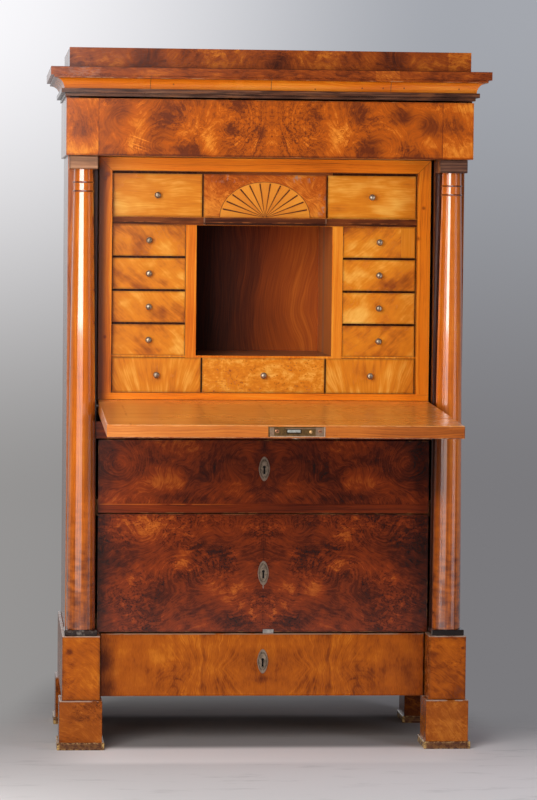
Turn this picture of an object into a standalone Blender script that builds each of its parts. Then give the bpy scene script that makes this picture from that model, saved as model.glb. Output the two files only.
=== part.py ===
"""Fall front secretaire: a walnut writing cabinet with columns, a fall flap, drawers and a nest of small drawers.

Metres, +Z up, front towards -Y. The floor is Z = 0 and X = 0 is the middle of the width.
Depths are given from the front face of the stiles, which lies at FACE_Y.
"""

import math

import bmesh
import bpy
from mathutils import Matrix, Vector

# Clearances and working allowances
SEAT_GAP = 0.0003
RUN_GAP = 0.0012
CUT_OVERRUN = 0.003
JOIN_OVERLAP = 0.002

# Carcass
OPENING_WIDTH = 0.769
CARCASS_DEPTH = 0.400
STILE_WIDTH = 0.0673
STILE_BACK_STEP = 0.002
SIDE_THICK = 0.022
BACK_THICK = 0.010
BACK_INSET = 0.0015
BOARD_THICK = 0.016

# Columns and the blocks above and below them
SHAFT_FOOT_RADIUS = 0.0325
SHAFT_HEAD_RADIUS = 0.0215
ENTASIS_POWER = 1.8
SHAFT_CLEARANCE = 0.0017
NECK_RING_DROP = 0.0292
NECK_RING_SPACING = 0.020
NECK_RING_RADIUS = 0.0022
ABACUS_HEIGHT = 0.0298
ABACUS_PROUD = 0.0102
COLUMN_PLINTH_HEIGHT = 0.0133
COLUMN_PLINTH_SIDE = 0.0044
COLUMN_PLINTH_PROUD = 0.0023
BLOCK_BEVEL = 0.0012

# Pedestals and feet
PEDESTAL_RISE = 0.0023
PEDESTAL_PROUD = 0.0045
PEDESTAL_SIDE = 0.0067
PLINTH_BAND_PROUD = 0.0075
FOOT_HEIGHT = 0.1112
FOOT_DEPTH = 0.099
FOOT_SIDE = 0.0054
FOOT_PROUD = 0.0063
FOOT_STRIP_HEIGHT = 0.017
FOOT_STRIP_PROUD = 0.005

# Frieze drawer and cornice
FRIEZE_HEIGHT = 0.1272
FRIEZE_SIDE = 0.0067
FRIEZE_PROUD = 0.0221
FRIEZE_FRONT_THICK = 0.028
FRIEZE_FLOOR_THICK = 0.012
FRIEZE_TOP_GAP = 0.0043
STEP_LOW_HEIGHT = 0.0071
STEP_LOW_PROUD = 0.003
STEP_HIGH_HEIGHT = 0.0099
STEP_HIGH_PROUD = 0.0115
COVE_HEIGHT = 0.0229
COVE_FOOT_PROUD = 0.005
COVE_HEAD_PROUD = 0.0255
FILLET_HEIGHT = 0.0058
FILLET_PROUD = 0.028
CORONA_HEIGHT = 0.0185
CORONA_PROUD = 0.0355
ATTIC_HEIGHT = 0.0446
ATTIC_SET_IN = 0.0066

# Large drawers
FRONT_THICK = 0.022
FRONT_SIDE_GAP = 0.0058
FRONT_GAP = 0.003
LOWER_FRONT_HEIGHT = 0.1437
LOWER_FRONT_PROUD = 0.0065
LOWER_FRONT_SIDE_GAP = 0.0035
MIDDLE_FRONT_HEIGHT = 0.270
UPPER_FRONT_HEIGHT = 0.166
UPPER_BAND_HEIGHT = 0.0193
UPPER_BAND_PROUD = 0.004
TRAY_END_SPACE = 0.058
TRAY_SIDE = 0.012
TRAY_FLOOR = 0.008
TRAY_SIDE_INSET = 0.006
TRAY_TOP_DROP = 0.012
GUIDE_HEIGHT = 0.022

# Writing flap and its rail
DESK_RAIL_HEIGHT = 0.0384
FLAP_THICK = 0.0275
FLAP_RECESS = 0.0057
FLAP_SIDE_GAP = 0.0045
FLAP_DROOP_DEGREES = 2.0
FLAP_SWING_GAP = 0.001
FLAP_TAIL_GAP = 0.00075
FLAP_HEAD_GAP = 0.002
FLAP_CLOSED_GAP = 0.002
FLAP_EDGE_BEVEL = 0.0016
PIN_RADIUS = 0.004
PIN_ENTRY = 0.0101
PIN_PLAY = 0.0004
LOCK_LENGTH = 0.121
LOCK_EDGE = 0.0032
LOCK_DEPTH = 0.032
LOCK_OFFSET_X = 0.0212
LOCK_BOLT_LENGTH = 0.028
LOCK_BOLT_HEIGHT = 0.007
LOCK_BOLT_DEPTH = 0.010
LOCK_BOLT_OFFSET_X = -0.006

# Frame of the writing compartment
FRAME_SIDE_GAP = 0.0045
FRAME_THICK = 0.0177
FRAME_RAIL = 0.0305
FRAME_BOTTOM_RAIL = 0.0155
FRAME_HEAD_GAP = 0.0012

# Nest of small drawers
CASE_WALL = 0.0145
CASE_BACK = 0.010
CASE_BACK_SPACE = 0.016
SMALL_FRONT_THICK = 0.012
NEST_SIDE_GAP = 0.002
NEST_HEAD_GAP = 0.0056
SHELF_THICK = 0.0053
DIVIDER_THICK = 0.007
ROW_GAP = 0.0003
MOULDING_HEIGHT = 0.017
MOULDING_GAP = 0.0009
MOULDING_PROUD = 0.008
BREAKFRONT_PROUD = 0.0155
BOTTOM_FRONT_HEIGHT = 0.079
SMALL_FRONT_HEIGHT = 0.0705
TOP_FRONT_HEIGHT = 0.098
PILASTER_WIDTH = 0.0245
SMALL_FRONT_WIDTH = 0.166
OUTER_FRONT_WIDTH = 0.203
CENTRE_FRONT_GAP = 0.004
SMALL_ROWS = 4
SMALL_TRAY_SIDE = 0.006
SMALL_TRAY_FLOOR = 0.005
SMALL_TRAY_DROP = 0.006
SMALL_TRAY_SPACE = 0.044

# Knobs and escutcheons
KNOB_REACH = 0.0150
KNOB_HEAD_RADIUS = 0.0076
KNOB_NECK_RADIUS = 0.0028
KNOB_BASE_RADIUS = 0.0056
KNOB_BASE_THICK = 0.0016
ESCUTCHEON_HEIGHT = 0.056
ESCUTCHEON_WIDTH = 0.0256
ESCUTCHEON_THICK = 0.0016
ESCUTCHEON_RIM = 0.0030
ESCUTCHEON_RIM_PROUD = 0.0010
ESCUTCHEON_POINT_SHARE = 0.16
KEYHOLE_RADIUS = 0.0032
KEYHOLE_SLOT_WIDTH = 0.0034
KEYHOLE_SLOT_LENGTH = 0.0155
KEYHOLE_RISE = 0.004
KEYHOLE_DEPTH = 0.009
ESCUTCHEON_UPPER_RISE = 0.018
ESCUTCHEON_LOWER_RISE = 0.008

# Facets on round pieces
SHARP_ANGLE = math.radians(35)
SHAFT_FACETS = 28
SHAFT_RINGS = 12
KNOB_FACETS = 14
PIN_FACETS = 16
OVAL_FACETS = 24
COVE_STEPS = 6

# Widths, from the opening outwards
HALF_OPENING = OPENING_WIDTH / 2
HALF_CARCASS = HALF_OPENING + STILE_WIDTH
SIDE_INNER = HALF_CARCASS - SIDE_THICK
BOARD_END = SIDE_INNER - SEAT_GAP
HALF_FRIEZE = HALF_CARCASS + FRIEZE_SIDE
HALF_FRONT = HALF_OPENING - FRONT_SIDE_GAP
HALF_FLAP = HALF_OPENING - FLAP_SIDE_GAP
COLUMN_X = HALF_CARCASS - SHAFT_CLEARANCE - SHAFT_FOOT_RADIUS
COLUMN_PLINTH_INNER = COLUMN_X - SHAFT_FOOT_RADIUS - COLUMN_PLINTH_SIDE
PEDESTAL_OUTER = HALF_CARCASS + PLINTH_BAND_PROUD
PEDESTAL_INNER = COLUMN_PLINTH_INNER - PEDESTAL_SIDE
FOOT_OUTER = PEDESTAL_OUTER + FOOT_PROUD
FOOT_INNER = PEDESTAL_INNER - FOOT_SIDE
HALF_LOWER_FRONT = PEDESTAL_INNER - LOWER_FRONT_SIDE_GAP
HALF_FRAME = HALF_OPENING - FRAME_SIDE_GAP
HALF_NEST = HALF_FRAME - FRAME_RAIL
HALF_CASE = HALF_NEST + CASE_WALL
OUTER_EDGE = HALF_NEST - NEST_SIDE_GAP
HALF_FAN = OUTER_EDGE - OUTER_FRONT_WIDTH - CENTRE_FRONT_GAP
SMALL_POCKET = OUTER_EDGE - SMALL_FRONT_WIDTH - NEST_SIDE_GAP / 2
HALF_NICHE = SMALL_POCKET - PILASTER_WIDTH

# Depths behind the stiles' face, and ahead of it for the columns' side
COLUMN_DEPTH = SHAFT_FOOT_RADIUS + SHAFT_CLEARANCE
COLUMN_PLINTH_FRONT = COLUMN_DEPTH + SHAFT_FOOT_RADIUS + COLUMN_PLINTH_PROUD
ABACUS_FRONT = COLUMN_DEPTH + SHAFT_HEAD_RADIUS + ABACUS_PROUD
PEDESTAL_FRONT = COLUMN_PLINTH_FRONT + PEDESTAL_PROUD
FOOT_FRONT = PEDESTAL_FRONT + FOOT_PROUD
FRIEZE_FRONT = ABACUS_FRONT + FRIEZE_PROUD
FRIEZE_FRONT_BACK = FRIEZE_FRONT - FRIEZE_FRONT_THICK
CHEEK_FRONT = FRIEZE_FRONT_BACK - SEAT_GAP
STILE_DEPTH = FRONT_THICK + STILE_BACK_STEP
BOARD_FRONT = STILE_DEPTH + SEAT_GAP
BACK_FACE = CARCASS_DEPTH - BACK_INSET
BACK_FRONT = BACK_FACE - BACK_THICK
BOARD_BACK = BACK_FRONT - SEAT_GAP
TRAY_BACK = BOARD_BACK - TRAY_END_SPACE
PIVOT_DEPTH = FLAP_RECESS + FLAP_THICK / 2
FRAME_FRONT = FLAP_RECESS + FLAP_THICK + FLAP_CLOSED_GAP
FRAME_BACK = FRAME_FRONT + FRAME_THICK
NEST_FRONT = FRAME_BACK + SEAT_GAP
NEST_FRONT_BACK = NEST_FRONT + SMALL_FRONT_THICK
NEST_POCKET = NEST_FRONT_BACK + SEAT_GAP
CASE_END = BOARD_BACK - CASE_BACK_SPACE
CELL_END = CASE_END - CASE_BACK
SMALL_TRAY_BACK = CELL_END - SMALL_TRAY_SPACE

# Heights of the pedestals and large drawers, from the floor up
PEDESTAL_FOOT = FOOT_HEIGHT + SEAT_GAP
LOWER_FOOT = PEDESTAL_FOOT
LOWER_TOP = LOWER_FOOT + LOWER_FRONT_HEIGHT
PEDESTAL_TOP = LOWER_TOP + PEDESTAL_RISE
COLUMN_PLINTH_FOOT = PEDESTAL_TOP + SEAT_GAP
COLUMN_PLINTH_TOP = COLUMN_PLINTH_FOOT + COLUMN_PLINTH_HEIGHT
MIDDLE_FOOT = LOWER_TOP + FRONT_GAP
MIDDLE_TOP = MIDDLE_FOOT + MIDDLE_FRONT_HEIGHT
UPPER_FOOT = MIDDLE_TOP + FRONT_GAP
UPPER_TOP = UPPER_FOOT + UPPER_FRONT_HEIGHT
LOWER_BOARD_FOOT = LOWER_TOP + FRONT_GAP / 2 - BOARD_THICK / 2
UPPER_BOARD_FOOT = MIDDLE_TOP + FRONT_GAP / 2 - BOARD_THICK / 2
DESK_RAIL_FOOT = UPPER_TOP + FRONT_GAP
DESK_RAIL_TOP = DESK_RAIL_FOOT + DESK_RAIL_HEIGHT

# The flap's tail swings between the rail below and the nest behind
FLAP_DROOP = math.radians(FLAP_DROOP_DEGREES)
FLAP_TAIL_SWING = NEST_FRONT - FLAP_TAIL_GAP - PIVOT_DEPTH
FLAP_TAIL = math.sqrt(FLAP_TAIL_SWING ** 2 - (FLAP_THICK / 2) ** 2)
FLAP_TAIL_RISE = FLAP_THICK / 2 * math.cos(FLAP_DROOP) + FLAP_TAIL * math.sin(FLAP_DROOP)
PIVOT_Z = DESK_RAIL_TOP + FLAP_SWING_GAP + FLAP_TAIL_SWING

# Heights of the nest, the columns' heads and the frieze
FRAME_FOOT = PIVOT_Z + FLAP_TAIL_RISE + SEAT_GAP
NEST_FLOOR = FRAME_FOOT + FRAME_BOTTOM_RAIL
BOTTOM_ROW_FOOT = NEST_FLOOR + ROW_GAP
BOTTOM_ROW_TOP = BOTTOM_ROW_FOOT + BOTTOM_FRONT_HEIGHT
SMALL_ROWS_FOOT = BOTTOM_ROW_TOP + SHELF_THICK
SMALL_PITCH = SMALL_FRONT_HEIGHT + SHELF_THICK
SMALL_ROWS_TOP = SMALL_ROWS_FOOT + SMALL_ROWS * SMALL_PITCH - SHELF_THICK
MOULDING_FOOT = SMALL_ROWS_TOP + MOULDING_GAP
MOULDING_TOP = MOULDING_FOOT + MOULDING_HEIGHT
TOP_ROW_FOOT = MOULDING_TOP + MOULDING_GAP
TOP_ROW_TOP = TOP_ROW_FOOT + TOP_FRONT_HEIGHT
NEST_HEAD = TOP_ROW_TOP + NEST_HEAD_GAP
FRAME_TOP = NEST_HEAD + FRAME_RAIL
FRIEZE_FOOT = FRAME_TOP + FRAME_HEAD_GAP
FRIEZE_TOP = FRIEZE_FOOT + FRIEZE_HEIGHT
CORNICE_FOOT = FRIEZE_TOP + FRIEZE_TOP_GAP
SIDE_TOP = CORNICE_FOOT - SEAT_GAP
ABACUS_TOP = FRIEZE_FOOT - SEAT_GAP
ABACUS_FOOT = ABACUS_TOP - ABACUS_HEIGHT
SHAFT_FOOT = COLUMN_PLINTH_TOP + SEAT_GAP
SHAFT_TOP = ABACUS_FOOT - SEAT_GAP
SHAFT_HEIGHT = SHAFT_TOP - SHAFT_FOOT
FLAP_HEAD = FRIEZE_FOOT - FLAP_HEAD_GAP - PIVOT_Z
FLAP_REACH = FLAP_HEAD * math.cos(FLAP_DROOP) + FLAP_THICK / 2 * math.sin(FLAP_DROOP)
FACE_Y = (FLAP_REACH - PIVOT_DEPTH - CARCASS_DEPTH) / 2

# Colour, roughness and metallic value of each material
MATERIALS = {
    "walnut_figured": ((0.42, 0.15, 0.035), 0.28, 0.0),
    "walnut_dark": ((0.17, 0.045, 0.018), 0.26, 0.0),
    "walnut_light": ((0.62, 0.27, 0.06), 0.32, 0.0),
    "walnut_niche": ((0.24, 0.085, 0.03), 0.40, 0.0),
    "softwood": ((0.50, 0.30, 0.14), 0.65, 0.0),
    "ebonised": ((0.035, 0.028, 0.024), 0.35, 0.0),
    "pewter": ((0.42, 0.37, 0.30), 0.38, 1.0),
}


def clear_scene():
    for old in list(bpy.data.objects):
        bpy.data.objects.remove(old, do_unlink=True)


def material(name):
    """The named Principled material, made once."""
    found = bpy.data.materials.get(name)
    if found:
        return found
    colour, roughness, metallic = MATERIALS[name]
    made = bpy.data.materials.new(name)
    made.use_nodes = True
    shader = made.node_tree.nodes["Principled BSDF"]
    shader.inputs["Base Color"].default_value = (*colour, 1.0)
    shader.inputs["Roughness"].default_value = roughness
    shader.inputs["Metallic"].default_value = metallic
    return made


def object_from(name, shape, finish):
    """Turns a bmesh into a scene object with its faces pointing out."""
    bmesh.ops.recalc_face_normals(shape, faces=shape.faces)
    mesh = bpy.data.meshes.new(name)
    shape.to_mesh(mesh)
    shape.free()
    made = bpy.data.objects.new(name, mesh)
    made.data.materials.append(material(finish))
    bpy.context.scene.collection.objects.link(made)
    return made


def box(name, low, high, finish):
    """A block between two corners."""
    shape = bmesh.new()
    size = [h - l for l, h in zip(low, high)]
    middle = [(h + l) / 2 for l, h in zip(low, high)]
    bmesh.ops.create_cube(shape, size=1)
    bmesh.ops.scale(shape, vec=size, verts=shape.verts)
    bmesh.ops.translate(shape, vec=middle, verts=shape.verts)
    return object_from(name, shape, finish)


def prism(name, outline, lift, finish):
    """A closed outline of 3-D points, drawn out along lift."""
    shape = bmesh.new()
    face = shape.faces.new([shape.verts.new(point) for point in outline])
    drawn = bmesh.ops.extrude_face_region(shape, geom=[face])
    corners = [item for item in drawn["geom"] if isinstance(item, bmesh.types.BMVert)]
    bmesh.ops.translate(shape, vec=lift, verts=corners)
    return object_from(name, shape, finish)


def turned(name, profile, facets, finish):
    """A solid turned about Z from (radius, height) points, foot to head."""
    shape = bmesh.new()
    rings = []
    for radius, height in profile:
        angles = [math.tau * step / facets for step in range(facets)]
        ring = [shape.verts.new((radius * math.cos(a), radius * math.sin(a), height)) for a in angles]
        rings.append(ring)
    for below, above in zip(rings, rings[1:]):
        for here in range(facets):
            after = (here + 1) % facets
            shape.faces.new((below[here], below[after], above[after], above[here]))
    shape.faces.new(rings[0])
    shape.faces.new(rings[-1])
    made = object_from(name, shape, finish)
    shade_round(made)
    return made


def shade_round(made):
    made.data.shade_smooth()
    made.data.set_sharp_from_angle(angle=SHARP_ANGLE)


def combine(made, other, operation):
    """Applies one Boolean to an object and removes the other object."""
    change = made.modifiers.new("Shape", "BOOLEAN")
    change.operation = operation
    change.solver = "EXACT"
    change.object = other
    bpy.context.view_layer.update()
    graph = bpy.context.evaluated_depsgraph_get()
    result = bpy.data.meshes.new_from_object(made.evaluated_get(graph))
    made.modifiers.clear()
    made.data = result
    bpy.data.objects.remove(other, do_unlink=True)
    return made


def cut(made, low, high):
    """Takes a block out of an object."""
    finish = made.data.materials[0].name
    return combine(made, box("Cutter", low, high, finish), "DIFFERENCE")


def add(made, low, high):
    """Glues a block on an object, which it overlaps."""
    finish = made.data.materials[0].name
    return combine(made, box("Block", low, high, finish), "UNION")


def bevel(made, width):
    """Breaks the outer sharp edges of a block and leaves its inner corners sharp."""
    shape = bmesh.new()
    shape.from_mesh(made.data)
    edges = [edge for edge in shape.edges if edge.is_convex and edge.calc_face_angle() > SHARP_ANGLE]
    bmesh.ops.bevel(shape, geom=edges, offset=width, segments=1, profile=0.5, affect="EDGES")
    shape.to_mesh(made.data)
    shape.free()
    return made


def set_origin(made, origin):
    """Moves an object's origin without moving its shape."""
    made.data.transform(Matrix.Translation(-Vector(origin)))
    made.location = origin
    return made


def hang_on(made, parent):
    """Parents one object to another without moving it."""
    bpy.context.view_layer.update()
    made.parent = parent
    made.matrix_parent_inverse = parent.matrix_world.inverted()
    return made


def at(x, depth, z):
    """A point given by its depth behind the stiles' face."""
    return (x, FACE_Y + depth, z)


def span(side, inner, outer):
    """Low and high x of a strip on one side, side being -1 for left and 1 for right."""
    return min(side * inner, side * outer), max(side * inner, side * outer)


def side_block(name, side, inner, outer, depths, heights, finish):
    """A block on one side of the middle."""
    low, high = span(side, inner, outer)
    return box(name, at(low, depths[0], heights[0]), at(high, depths[1], heights[1]), finish)


def side_panel(name, side):
    """Side board with its front stile, the cheek beside the frieze drawer and the flap's pivot pin."""
    panel = side_block(
        name, side, SIDE_INNER, HALF_CARCASS, (0, CARCASS_DEPTH), (PEDESTAL_FOOT, SIDE_TOP), "walnut_figured"
    )
    low, high = span(side, HALF_OPENING, SIDE_INNER + JOIN_OVERLAP)
    add(panel, at(low, 0, PEDESTAL_FOOT), at(high, STILE_DEPTH, FRIEZE_FOOT - SEAT_GAP))
    low, high = span(side, SIDE_INNER, HALF_FRIEZE)
    add(panel, at(low, -CHEEK_FRONT, FRIEZE_FOOT), at(high, CARCASS_DEPTH, SIDE_TOP))
    return combine(panel, pivot_pin(side), "UNION")


def pivot_pin(side):
    """Pin that stands out of the stile into the flap's end."""
    length = FLAP_SIDE_GAP + PIN_ENTRY + JOIN_OVERLAP
    pin = turned("Pin", [(PIN_RADIUS, -length / 2), (PIN_RADIUS, length / 2)], PIN_FACETS, "walnut_figured")
    pin.data.transform(Matrix.Rotation(math.pi / 2, 4, "Y"))
    centre = side * (HALF_OPENING + JOIN_OVERLAP - length / 2)
    pin.data.transform(Matrix.Translation(at(centre, PIVOT_DEPTH, PIVOT_Z)))
    return pin


def inner_board(name, foot, top):
    """Board between the side boards, behind the stiles."""
    return box(name, at(-BOARD_END, BOARD_FRONT, foot), at(BOARD_END, BOARD_BACK, top), "softwood")


def drawer_board(name, foot, tray_half):
    """Board that carries a large drawer, with a guide strip along each side of the drawer's tray."""
    top = foot + BOARD_THICK
    board = inner_board(name, foot, top)
    for side in (-1, 1):
        low, high = span(side, tray_half + RUN_GAP, BOARD_END)
        add(board, at(low, BOARD_FRONT, top - JOIN_OVERLAP), at(high, TRAY_BACK, top + GUIDE_HEIGHT))
    return board


def desk_floor():
    """Board above the upper drawer, with the rail that shows below the flap."""
    board = box(
        "desk_floor",
        at(-BOARD_END, BOARD_FRONT, DESK_RAIL_FOOT),
        at(BOARD_END, BOARD_BACK, DESK_RAIL_FOOT + BOARD_THICK),
        "walnut_dark",
    )
    inset = HALF_OPENING - SEAT_GAP
    return add(board, at(-inset, 0, DESK_RAIL_FOOT), at(inset, BOARD_FRONT + JOIN_OVERLAP, DESK_RAIL_TOP))


def frieze_floor():
    """Board under the frieze drawer, carried forward over the columns."""
    top = FRIEZE_FOOT + FRIEZE_FLOOR_THICK
    return box(
        "frieze_floor", at(-BOARD_END, -CHEEK_FRONT, FRIEZE_FOOT), at(BOARD_END, BOARD_BACK, top), "walnut_light"
    )


def back_panel():
    return box(
        "back_panel", at(-BOARD_END, BACK_FRONT, PEDESTAL_FOOT), at(BOARD_END, BACK_FACE, SIDE_TOP), "softwood"
    )


def cove_points(foot):
    """Quarter curve of the cornice's cove as (projection, height), foot first."""
    run = COVE_HEAD_PROUD - COVE_FOOT_PROUD
    turns = [math.pi / 2 * step / COVE_STEPS for step in range(COVE_STEPS + 1)]
    return [(COVE_FOOT_PROUD + run * (1 - math.cos(t)), foot + COVE_HEIGHT * math.sin(t)) for t in turns]


def cornice_profile():
    """Projection beyond the frieze and height of each arris of the cornice and attic."""
    low_top = CORNICE_FOOT + STEP_LOW_HEIGHT
    high_top = low_top + STEP_HIGH_HEIGHT
    cove = cove_points(high_top)
    fillet_foot = high_top + COVE_HEIGHT
    corona_foot = fillet_foot + FILLET_HEIGHT
    corona_top = corona_foot + CORONA_HEIGHT
    attic_top = corona_top + ATTIC_HEIGHT
    return [
        (STEP_LOW_PROUD, CORNICE_FOOT), (STEP_LOW_PROUD, low_top),
        (STEP_HIGH_PROUD, low_top), (STEP_HIGH_PROUD, high_top),
        *cove, (FILLET_PROUD, fillet_foot), (FILLET_PROUD, corona_foot),
        (CORONA_PROUD, corona_foot), (CORONA_PROUD, corona_top),
        (-ATTIC_SET_IN, corona_top), (-ATTIC_SET_IN, attic_top),
    ]


def cornice():
    """Moulded top with its attic: the profile runs round the front and both sides, mitred at the corners."""
    shape = bmesh.new()
    loops = []
    for proud, height in cornice_profile():
        half = HALF_FRIEZE + proud
        front = -FRIEZE_FRONT - proud
        corners = [(-half, front), (half, front), (half, CARCASS_DEPTH), (-half, CARCASS_DEPTH)]
        loops.append([shape.verts.new(at(x, depth, height)) for x, depth in corners])
    for below, above in zip(loops, loops[1:]):
        for here in range(len(below)):
            after = (here + 1) % len(below)
            shape.faces.new((below[here], below[after], above[after], above[here]))
    shape.faces.new(loops[0])
    shape.faces.new(loops[-1])
    return object_from("cornice", shape, "walnut_figured")


def shaft_profile():
    """Radius and height of the shaft with its entasis and two neck rings."""
    rings = [SHAFT_HEIGHT - NECK_RING_DROP - NECK_RING_SPACING * step for step in (1, 0)]
    plain = [SHAFT_HEIGHT * step / SHAFT_RINGS for step in range(SHAFT_RINGS + 1)]
    plain = [h for h in plain if all(abs(h - ring) > 2 * NECK_RING_RADIUS for ring in rings)]
    points = [(shaft_radius(h), h) for h in plain]
    for ring in rings:
        for turn in (-90, -45, 0, 45, 90):
            out = NECK_RING_RADIUS * math.cos(math.radians(turn))
            height = ring + NECK_RING_RADIUS * math.sin(math.radians(turn))
            points.append((shaft_radius(height) + out, height))
    return sorted(points, key=lambda point: point[1])


def shaft_radius(height):
    taper = 1 - (height / SHAFT_HEIGHT) ** ENTASIS_POWER
    return SHAFT_HEAD_RADIUS + (SHAFT_FOOT_RADIUS - SHAFT_HEAD_RADIUS) * taper


def column(name, side):
    shaft = turned(name, shaft_profile(), SHAFT_FACETS, "walnut_light")
    shaft.location = at(side * COLUMN_X, -COLUMN_DEPTH, SHAFT_FOOT)
    return shaft


def column_block(name, side, half_width, front, heights):
    """Square block above or below a column, its back against the stile."""
    inner, outer = COLUMN_X - half_width, COLUMN_X + half_width
    block = side_block(name, side, inner, outer, (-front, -SEAT_GAP), heights, "ebonised")
    return bevel(block, BLOCK_BEVEL)


def pedestal(name, side):
    """Pedestal block under a column, with the plinth band that runs back along the side."""
    band_inner = HALF_CARCASS + SEAT_GAP
    outline = [
        (PEDESTAL_INNER, -PEDESTAL_FRONT), (PEDESTAL_OUTER, -PEDESTAL_FRONT), (PEDESTAL_OUTER, CARCASS_DEPTH),
        (band_inner, CARCASS_DEPTH), (band_inner, -SEAT_GAP), (PEDESTAL_INNER, -SEAT_GAP),
    ]
    points = [at(side * x, depth, PEDESTAL_FOOT) for x, depth in outline]
    block = prism(name, points, (0, 0, PEDESTAL_TOP - PEDESTAL_FOOT), "walnut_figured")
    return bevel(block, BLOCK_BEVEL)


def foot(name, side, front):
    """Block foot with the strip round its bottom; front is the depth of its front face."""
    back = front + FOOT_DEPTH
    block = side_block(name, side, FOOT_INNER, FOOT_OUTER, (front, back), (0, FOOT_HEIGHT), "walnut_figured")
    low, high = span(side, FOOT_INNER - FOOT_STRIP_PROUD, FOOT_OUTER + FOOT_STRIP_PROUD)
    strip_front = front - FOOT_STRIP_PROUD
    strip_back = min(back + FOOT_STRIP_PROUD, CARCASS_DEPTH)
    add(block, at(low, strip_front, 0), at(high, strip_back, FOOT_STRIP_HEIGHT))
    return bevel(block, BLOCK_BEVEL)


def interior_frame():
    """Face frame round the small drawers."""
    low, high = at(-HALF_FRAME, FRAME_FRONT, FRAME_FOOT), at(HALF_FRAME, FRAME_BACK, FRAME_TOP)
    frame = box("interior_frame", low, high, "walnut_light")
    low = at(-HALF_NEST, FRAME_FRONT - CUT_OVERRUN, NEST_FLOOR)
    high = at(HALF_NEST, FRAME_BACK + CUT_OVERRUN, NEST_HEAD)
    return cut(frame, low, high)


def small_row_foot(row):
    """Height of the lower edge of a small drawer's front, rows counted from the top."""
    return SMALL_ROWS_FOOT + (SMALL_ROWS - row) * SMALL_PITCH


def nest_fronts():
    """Each small drawer's name with the low and high x and z of its front."""
    inner = OUTER_EDGE - OUTER_FRONT_WIDTH
    small = OUTER_EDGE - SMALL_FRONT_WIDTH
    fronts = {}
    for side, word in ((-1, "left"), (1, "right")):
        fronts["top_" + word] = (*span(side, inner, OUTER_EDGE), TOP_ROW_FOOT, TOP_ROW_TOP)
        for row in range(1, SMALL_ROWS + 1):
            low = small_row_foot(row)
            fronts[f"{word}_{row}"] = (*span(side, small, OUTER_EDGE), low, low + SMALL_FRONT_HEIGHT)
        fronts["bottom_" + word] = (*span(side, inner, OUTER_EDGE), BOTTOM_ROW_FOOT, BOTTOM_ROW_TOP)
    fronts["bottom_centre"] = (-HALF_FAN, HALF_FAN, BOTTOM_ROW_FOOT, BOTTOM_ROW_TOP)
    return fronts


def cell_of(front):
    """Low and high x and z of the cell behind a front, which overlaps the dividers."""
    low_x, high_x, low_z, high_z = front
    share = (DIVIDER_THICK - CENTRE_FRONT_GAP) / 2
    low_x = -HALF_NEST if low_x < -OUTER_EDGE + SEAT_GAP else low_x + share
    high_x = HALF_NEST if high_x > OUTER_EDGE - SEAT_GAP else high_x - share
    return low_x, high_x, low_z, high_z


def case_pockets():
    """Low and high x and z of the shallow pockets that the drawer fronts sit in."""
    return [
        (-HALF_NEST, HALF_NEST, BOTTOM_ROW_FOOT, BOTTOM_ROW_TOP + SEAT_GAP),
        (-HALF_NEST, HALF_NEST, TOP_ROW_FOOT, NEST_HEAD),
        (-HALF_NEST, -SMALL_POCKET, SMALL_ROWS_FOOT, SMALL_ROWS_TOP + SEAT_GAP),
        (SMALL_POCKET, HALF_NEST, SMALL_ROWS_FOOT, SMALL_ROWS_TOP + SEAT_GAP),
    ]


def interior_case():
    """Nest of cells: one block with a cell cut for each small drawer, the niche and the space behind the fan."""
    foot_z = DESK_RAIL_FOOT + BOARD_THICK + SEAT_GAP
    low, high = at(-HALF_CASE, NEST_FRONT, foot_z), at(HALF_CASE, CASE_END, FRAME_TOP)
    case = box("interior_case", low, high, "walnut_niche")
    start = NEST_FRONT - CUT_OVERRUN
    for low_x, high_x, low_z, high_z in case_pockets():
        cut(case, at(low_x, start, low_z - ROW_GAP), at(high_x, NEST_POCKET, high_z))
    cells = [cell_of(front) for front in nest_fronts().values()]
    cells.append(cell_of((-HALF_FAN, HALF_FAN, TOP_ROW_FOOT, TOP_ROW_TOP)))
    cells.append((-HALF_NICHE, HALF_NICHE, SMALL_ROWS_FOOT + ROW_GAP, SMALL_ROWS_TOP))
    for low_x, high_x, low_z, high_z in cells:
        cut(case, at(low_x, start, low_z - ROW_GAP), at(high_x, CELL_END, high_z))
    return cut(case, at(-HALF_NEST, start, foot_z - CUT_OVERRUN), at(HALF_NEST, CASE_END + CUT_OVERRUN, FRAME_FOOT))


def interior_moulding():
    """Dark stepped moulding under the top row, which breaks forward over the niche."""
    half = HALF_NEST - SEAT_GAP
    back = NEST_FRONT - SEAT_GAP
    wide = HALF_FAN
    step = MOULDING_HEIGHT / 3
    moulding = box(
        "interior_moulding",
        at(-half, NEST_FRONT - MOULDING_PROUD, MOULDING_FOOT + step),
        at(half, back, MOULDING_TOP),
        "ebonised",
    )
    setback = MOULDING_PROUD / 2
    low_top = MOULDING_FOOT + step + JOIN_OVERLAP
    add(moulding, at(-half, NEST_FRONT - setback, MOULDING_FOOT), at(half, back, low_top))
    front = NEST_FRONT - BREAKFRONT_PROUD
    add(moulding, at(-wide, front, MOULDING_FOOT + step), at(wide, back - setback / 2, MOULDING_TOP))
    low_front = front + setback
    inset = wide - setback
    return add(moulding, at(-inset, low_front, MOULDING_FOOT), at(inset, back - setback / 2, low_top))


def fan_panel():
    """Front panel over the niche, which carries the inlaid fan."""
    low, high = at(-HALF_FAN, NEST_FRONT, TOP_ROW_FOOT), at(HALF_FAN, NEST_FRONT_BACK, TOP_ROW_TOP)
    return box("fan_panel", low, high, "walnut_light")


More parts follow.
